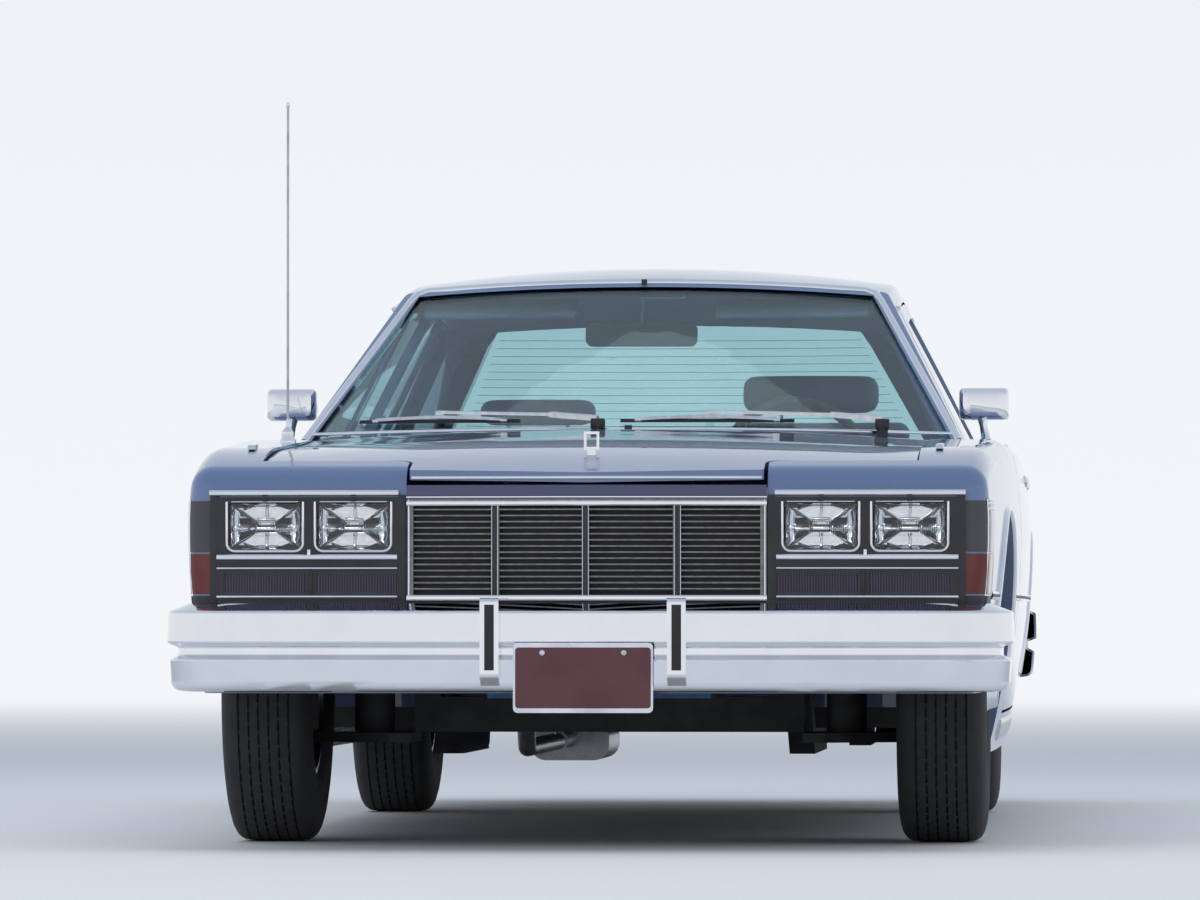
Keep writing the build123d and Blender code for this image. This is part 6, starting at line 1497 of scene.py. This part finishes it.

# Underbody: shock absorbers, pipes and clamps
under = Piece("underbody_fittings", "car_body", "underbody")
for sign in (1, -1):
    path = [(sign * (0.500 + 0.045 * math.cos(t)), FRONT_AXLE_Y + 0.045 * math.sin(t), 0.275 + 0.20 * t / (TAU * 6))
            for t in [TAU * i / 14 for i in range(14 * 6)]]
    under.tube([(sign * 0.600, 1.270, 0.330), (sign * 0.585, 1.300, 0.430), (sign * 0.575, 1.330, 0.520)], 0.024, UNDER, 16)
    under.tube([(sign * 0.600, 1.270, 0.330), (sign * 0.592, 1.285, 0.380), (sign * 0.585, 1.300, 0.430)], 0.018, STEEL, 14)
under.tube([(0.30, -1.35, 0.255), (0.30, -0.6, 0.246), (0.30, 0.6, 0.246), (0.30, 0.95, 0.246)], 0.004, STEEL, 6)
under.tube([(0.33, -1.35, 0.256), (0.33, -0.6, 0.245), (0.33, 0.6, 0.245), (0.33, 0.95, 0.245)], 0.005, STEEL, 6)
for y in (-0.12, -0.098, 0.752, 0.774):
    under.lathe([(0.026, 0.0), (0.026, 0.010), (0.020, 0.012)], (-0.230, y, 0.205), (0, 1, 0), STEEL, 20)
under.make()


# Floor, light and camera
HORIZON = (0.90, 0.92, 0.95)
SKY_STOPS = ((0.0, HORIZON), (0.10, (0.84, 0.875, 0.92)), (0.45, (0.60, 0.66, 0.76)), (1.0, (0.47, 0.55, 0.68)))
FLOOR_COLOURS = ((0.600, 0.608, 0.618), (0.612, 0.620, 0.630))
FLOOR_HALF = 240.0
FADE_START, FADE_END = 7.0, 34.0


def make_floor():
    """A pale floor that keeps the shadow near the car and turns into the horizon far from it."""
    made = material("floor", FLOOR_COLOURS[1], 0.0, 0.8)
    vary_colour(made, texture(made, 0.6, 2.0), "Fac", *FLOOR_COLOURS)
    place = node(made, "ShaderNodeTexCoord")
    far = node(made, "ShaderNodeVectorMath")
    far.operation = "LENGTH"
    link(made, place, "Object", far, 0)
    fade = node(made, "ShaderNodeMapRange")
    fade.interpolation_type = "SMOOTHSTEP"
    fade.inputs["From Min"].default_value = FADE_START
    fade.inputs["From Max"].default_value = FADE_END
    link(made, far, "Value", fade, "Value")
    glow = node(made, "ShaderNodeEmission")
    glow.inputs["Color"].default_value = (*HORIZON, 1)
    mix = node(made, "ShaderNodeMixShader")
    link(made, fade, "Result", mix, "Fac")
    link(made, shader_of(made), "BSDF", mix, 1)
    link(made, glow, "Emission", mix, 2)
    # nothing of it shows from below, so that the car's underside can be seen
    facing = node(made, "ShaderNodeNewGeometry")
    clear = node(made, "ShaderNodeBsdfTransparent")
    sides = node(made, "ShaderNodeMixShader")
    link(made, facing, "Backfacing", sides, "Fac")
    link(made, mix, "Shader", sides, 1)
    link(made, clear, "BSDF", sides, 2)
    link(made, sides, "Shader", made.node_tree.nodes["Material Output"], "Surface")
    data = bpy.data.meshes.new("floor")
    size = FLOOR_HALF
    data.from_pydata([(-size, -size, 0), (size, -size, 0), (size, size, 0), (-size, size, 0)], [], [(0, 1, 2, 3)])
    data.materials.append(made)
    thing = bpy.data.objects.new("floor", data)
    bpy.context.scene.collection.objects.link(thing)


def make_lamp(name, place, aim, size, power):
    data = bpy.data.lights.new(name, "AREA")
    data.shape = "RECTANGLE"
    data.size, data.size_y = size
    data.energy = power
    thing = bpy.data.objects.new(name, data)
    thing.location = place
    thing.rotation_euler = (Vector(aim) - Vector(place)).to_track_quat("-Z", "Y").to_euler()
    thing.visible_glossy = False
    bpy.context.scene.collection.objects.link(thing)


def make_world():
    """A soft dome, pale at the horizon and deeper overhead."""
    world = bpy.data.worlds.new("studio")
    bpy.context.scene.world = world
    world.use_nodes = True
    nodes, links = world.node_tree.nodes, world.node_tree.links
    place = nodes.new("ShaderNodeTexCoord")
    split = nodes.new("ShaderNodeSeparateXYZ")
    ramp = nodes.new("ShaderNodeValToRGB")
    stops = ramp.color_ramp.elements
    while len(stops) < len(SKY_STOPS):
        stops.new(0.5)
    for stop, (height, tone) in zip(stops, SKY_STOPS):
        stop.position = height
        stop.color = (*tone, 1)
    links.new(place.outputs["Generated"], split.inputs["Vector"])
    links.new(split.outputs["Z"], ramp.inputs["Fac"])
    links.new(ramp.outputs["Color"], nodes["Background"].inputs["Color"])


make_floor()
make_world()
make_lamp("overhead", (0, -1.0, 8.0), (0, -0.5, 0.8), (10.0, 10.0), 360)
make_lamp("front_key", (-6.0, -12.0, 6.0), (0, -1.5, 0.7), (7.0, 5.0), 520)
make_lamp("side_fill", (10.0, -3.0, 4.0), (0, 0, 0.8), (6.0, 4.0), 160)

camera_data = bpy.data.cameras.new("camera")
camera_data.lens = 242.6
camera_data.sensor_width = 36.0
camera = bpy.data.objects.new("camera", camera_data)
camera.location = (1.177, -20.105, 0.505)
camera.rotation_euler = (math.radians(90 + 1.2046), 0, math.radians(3.724))
bpy.context.scene.collection.objects.link(camera)
bpy.context.scene.camera = camera
bpy.context.scene.view_settings.view_transform = "Standard"
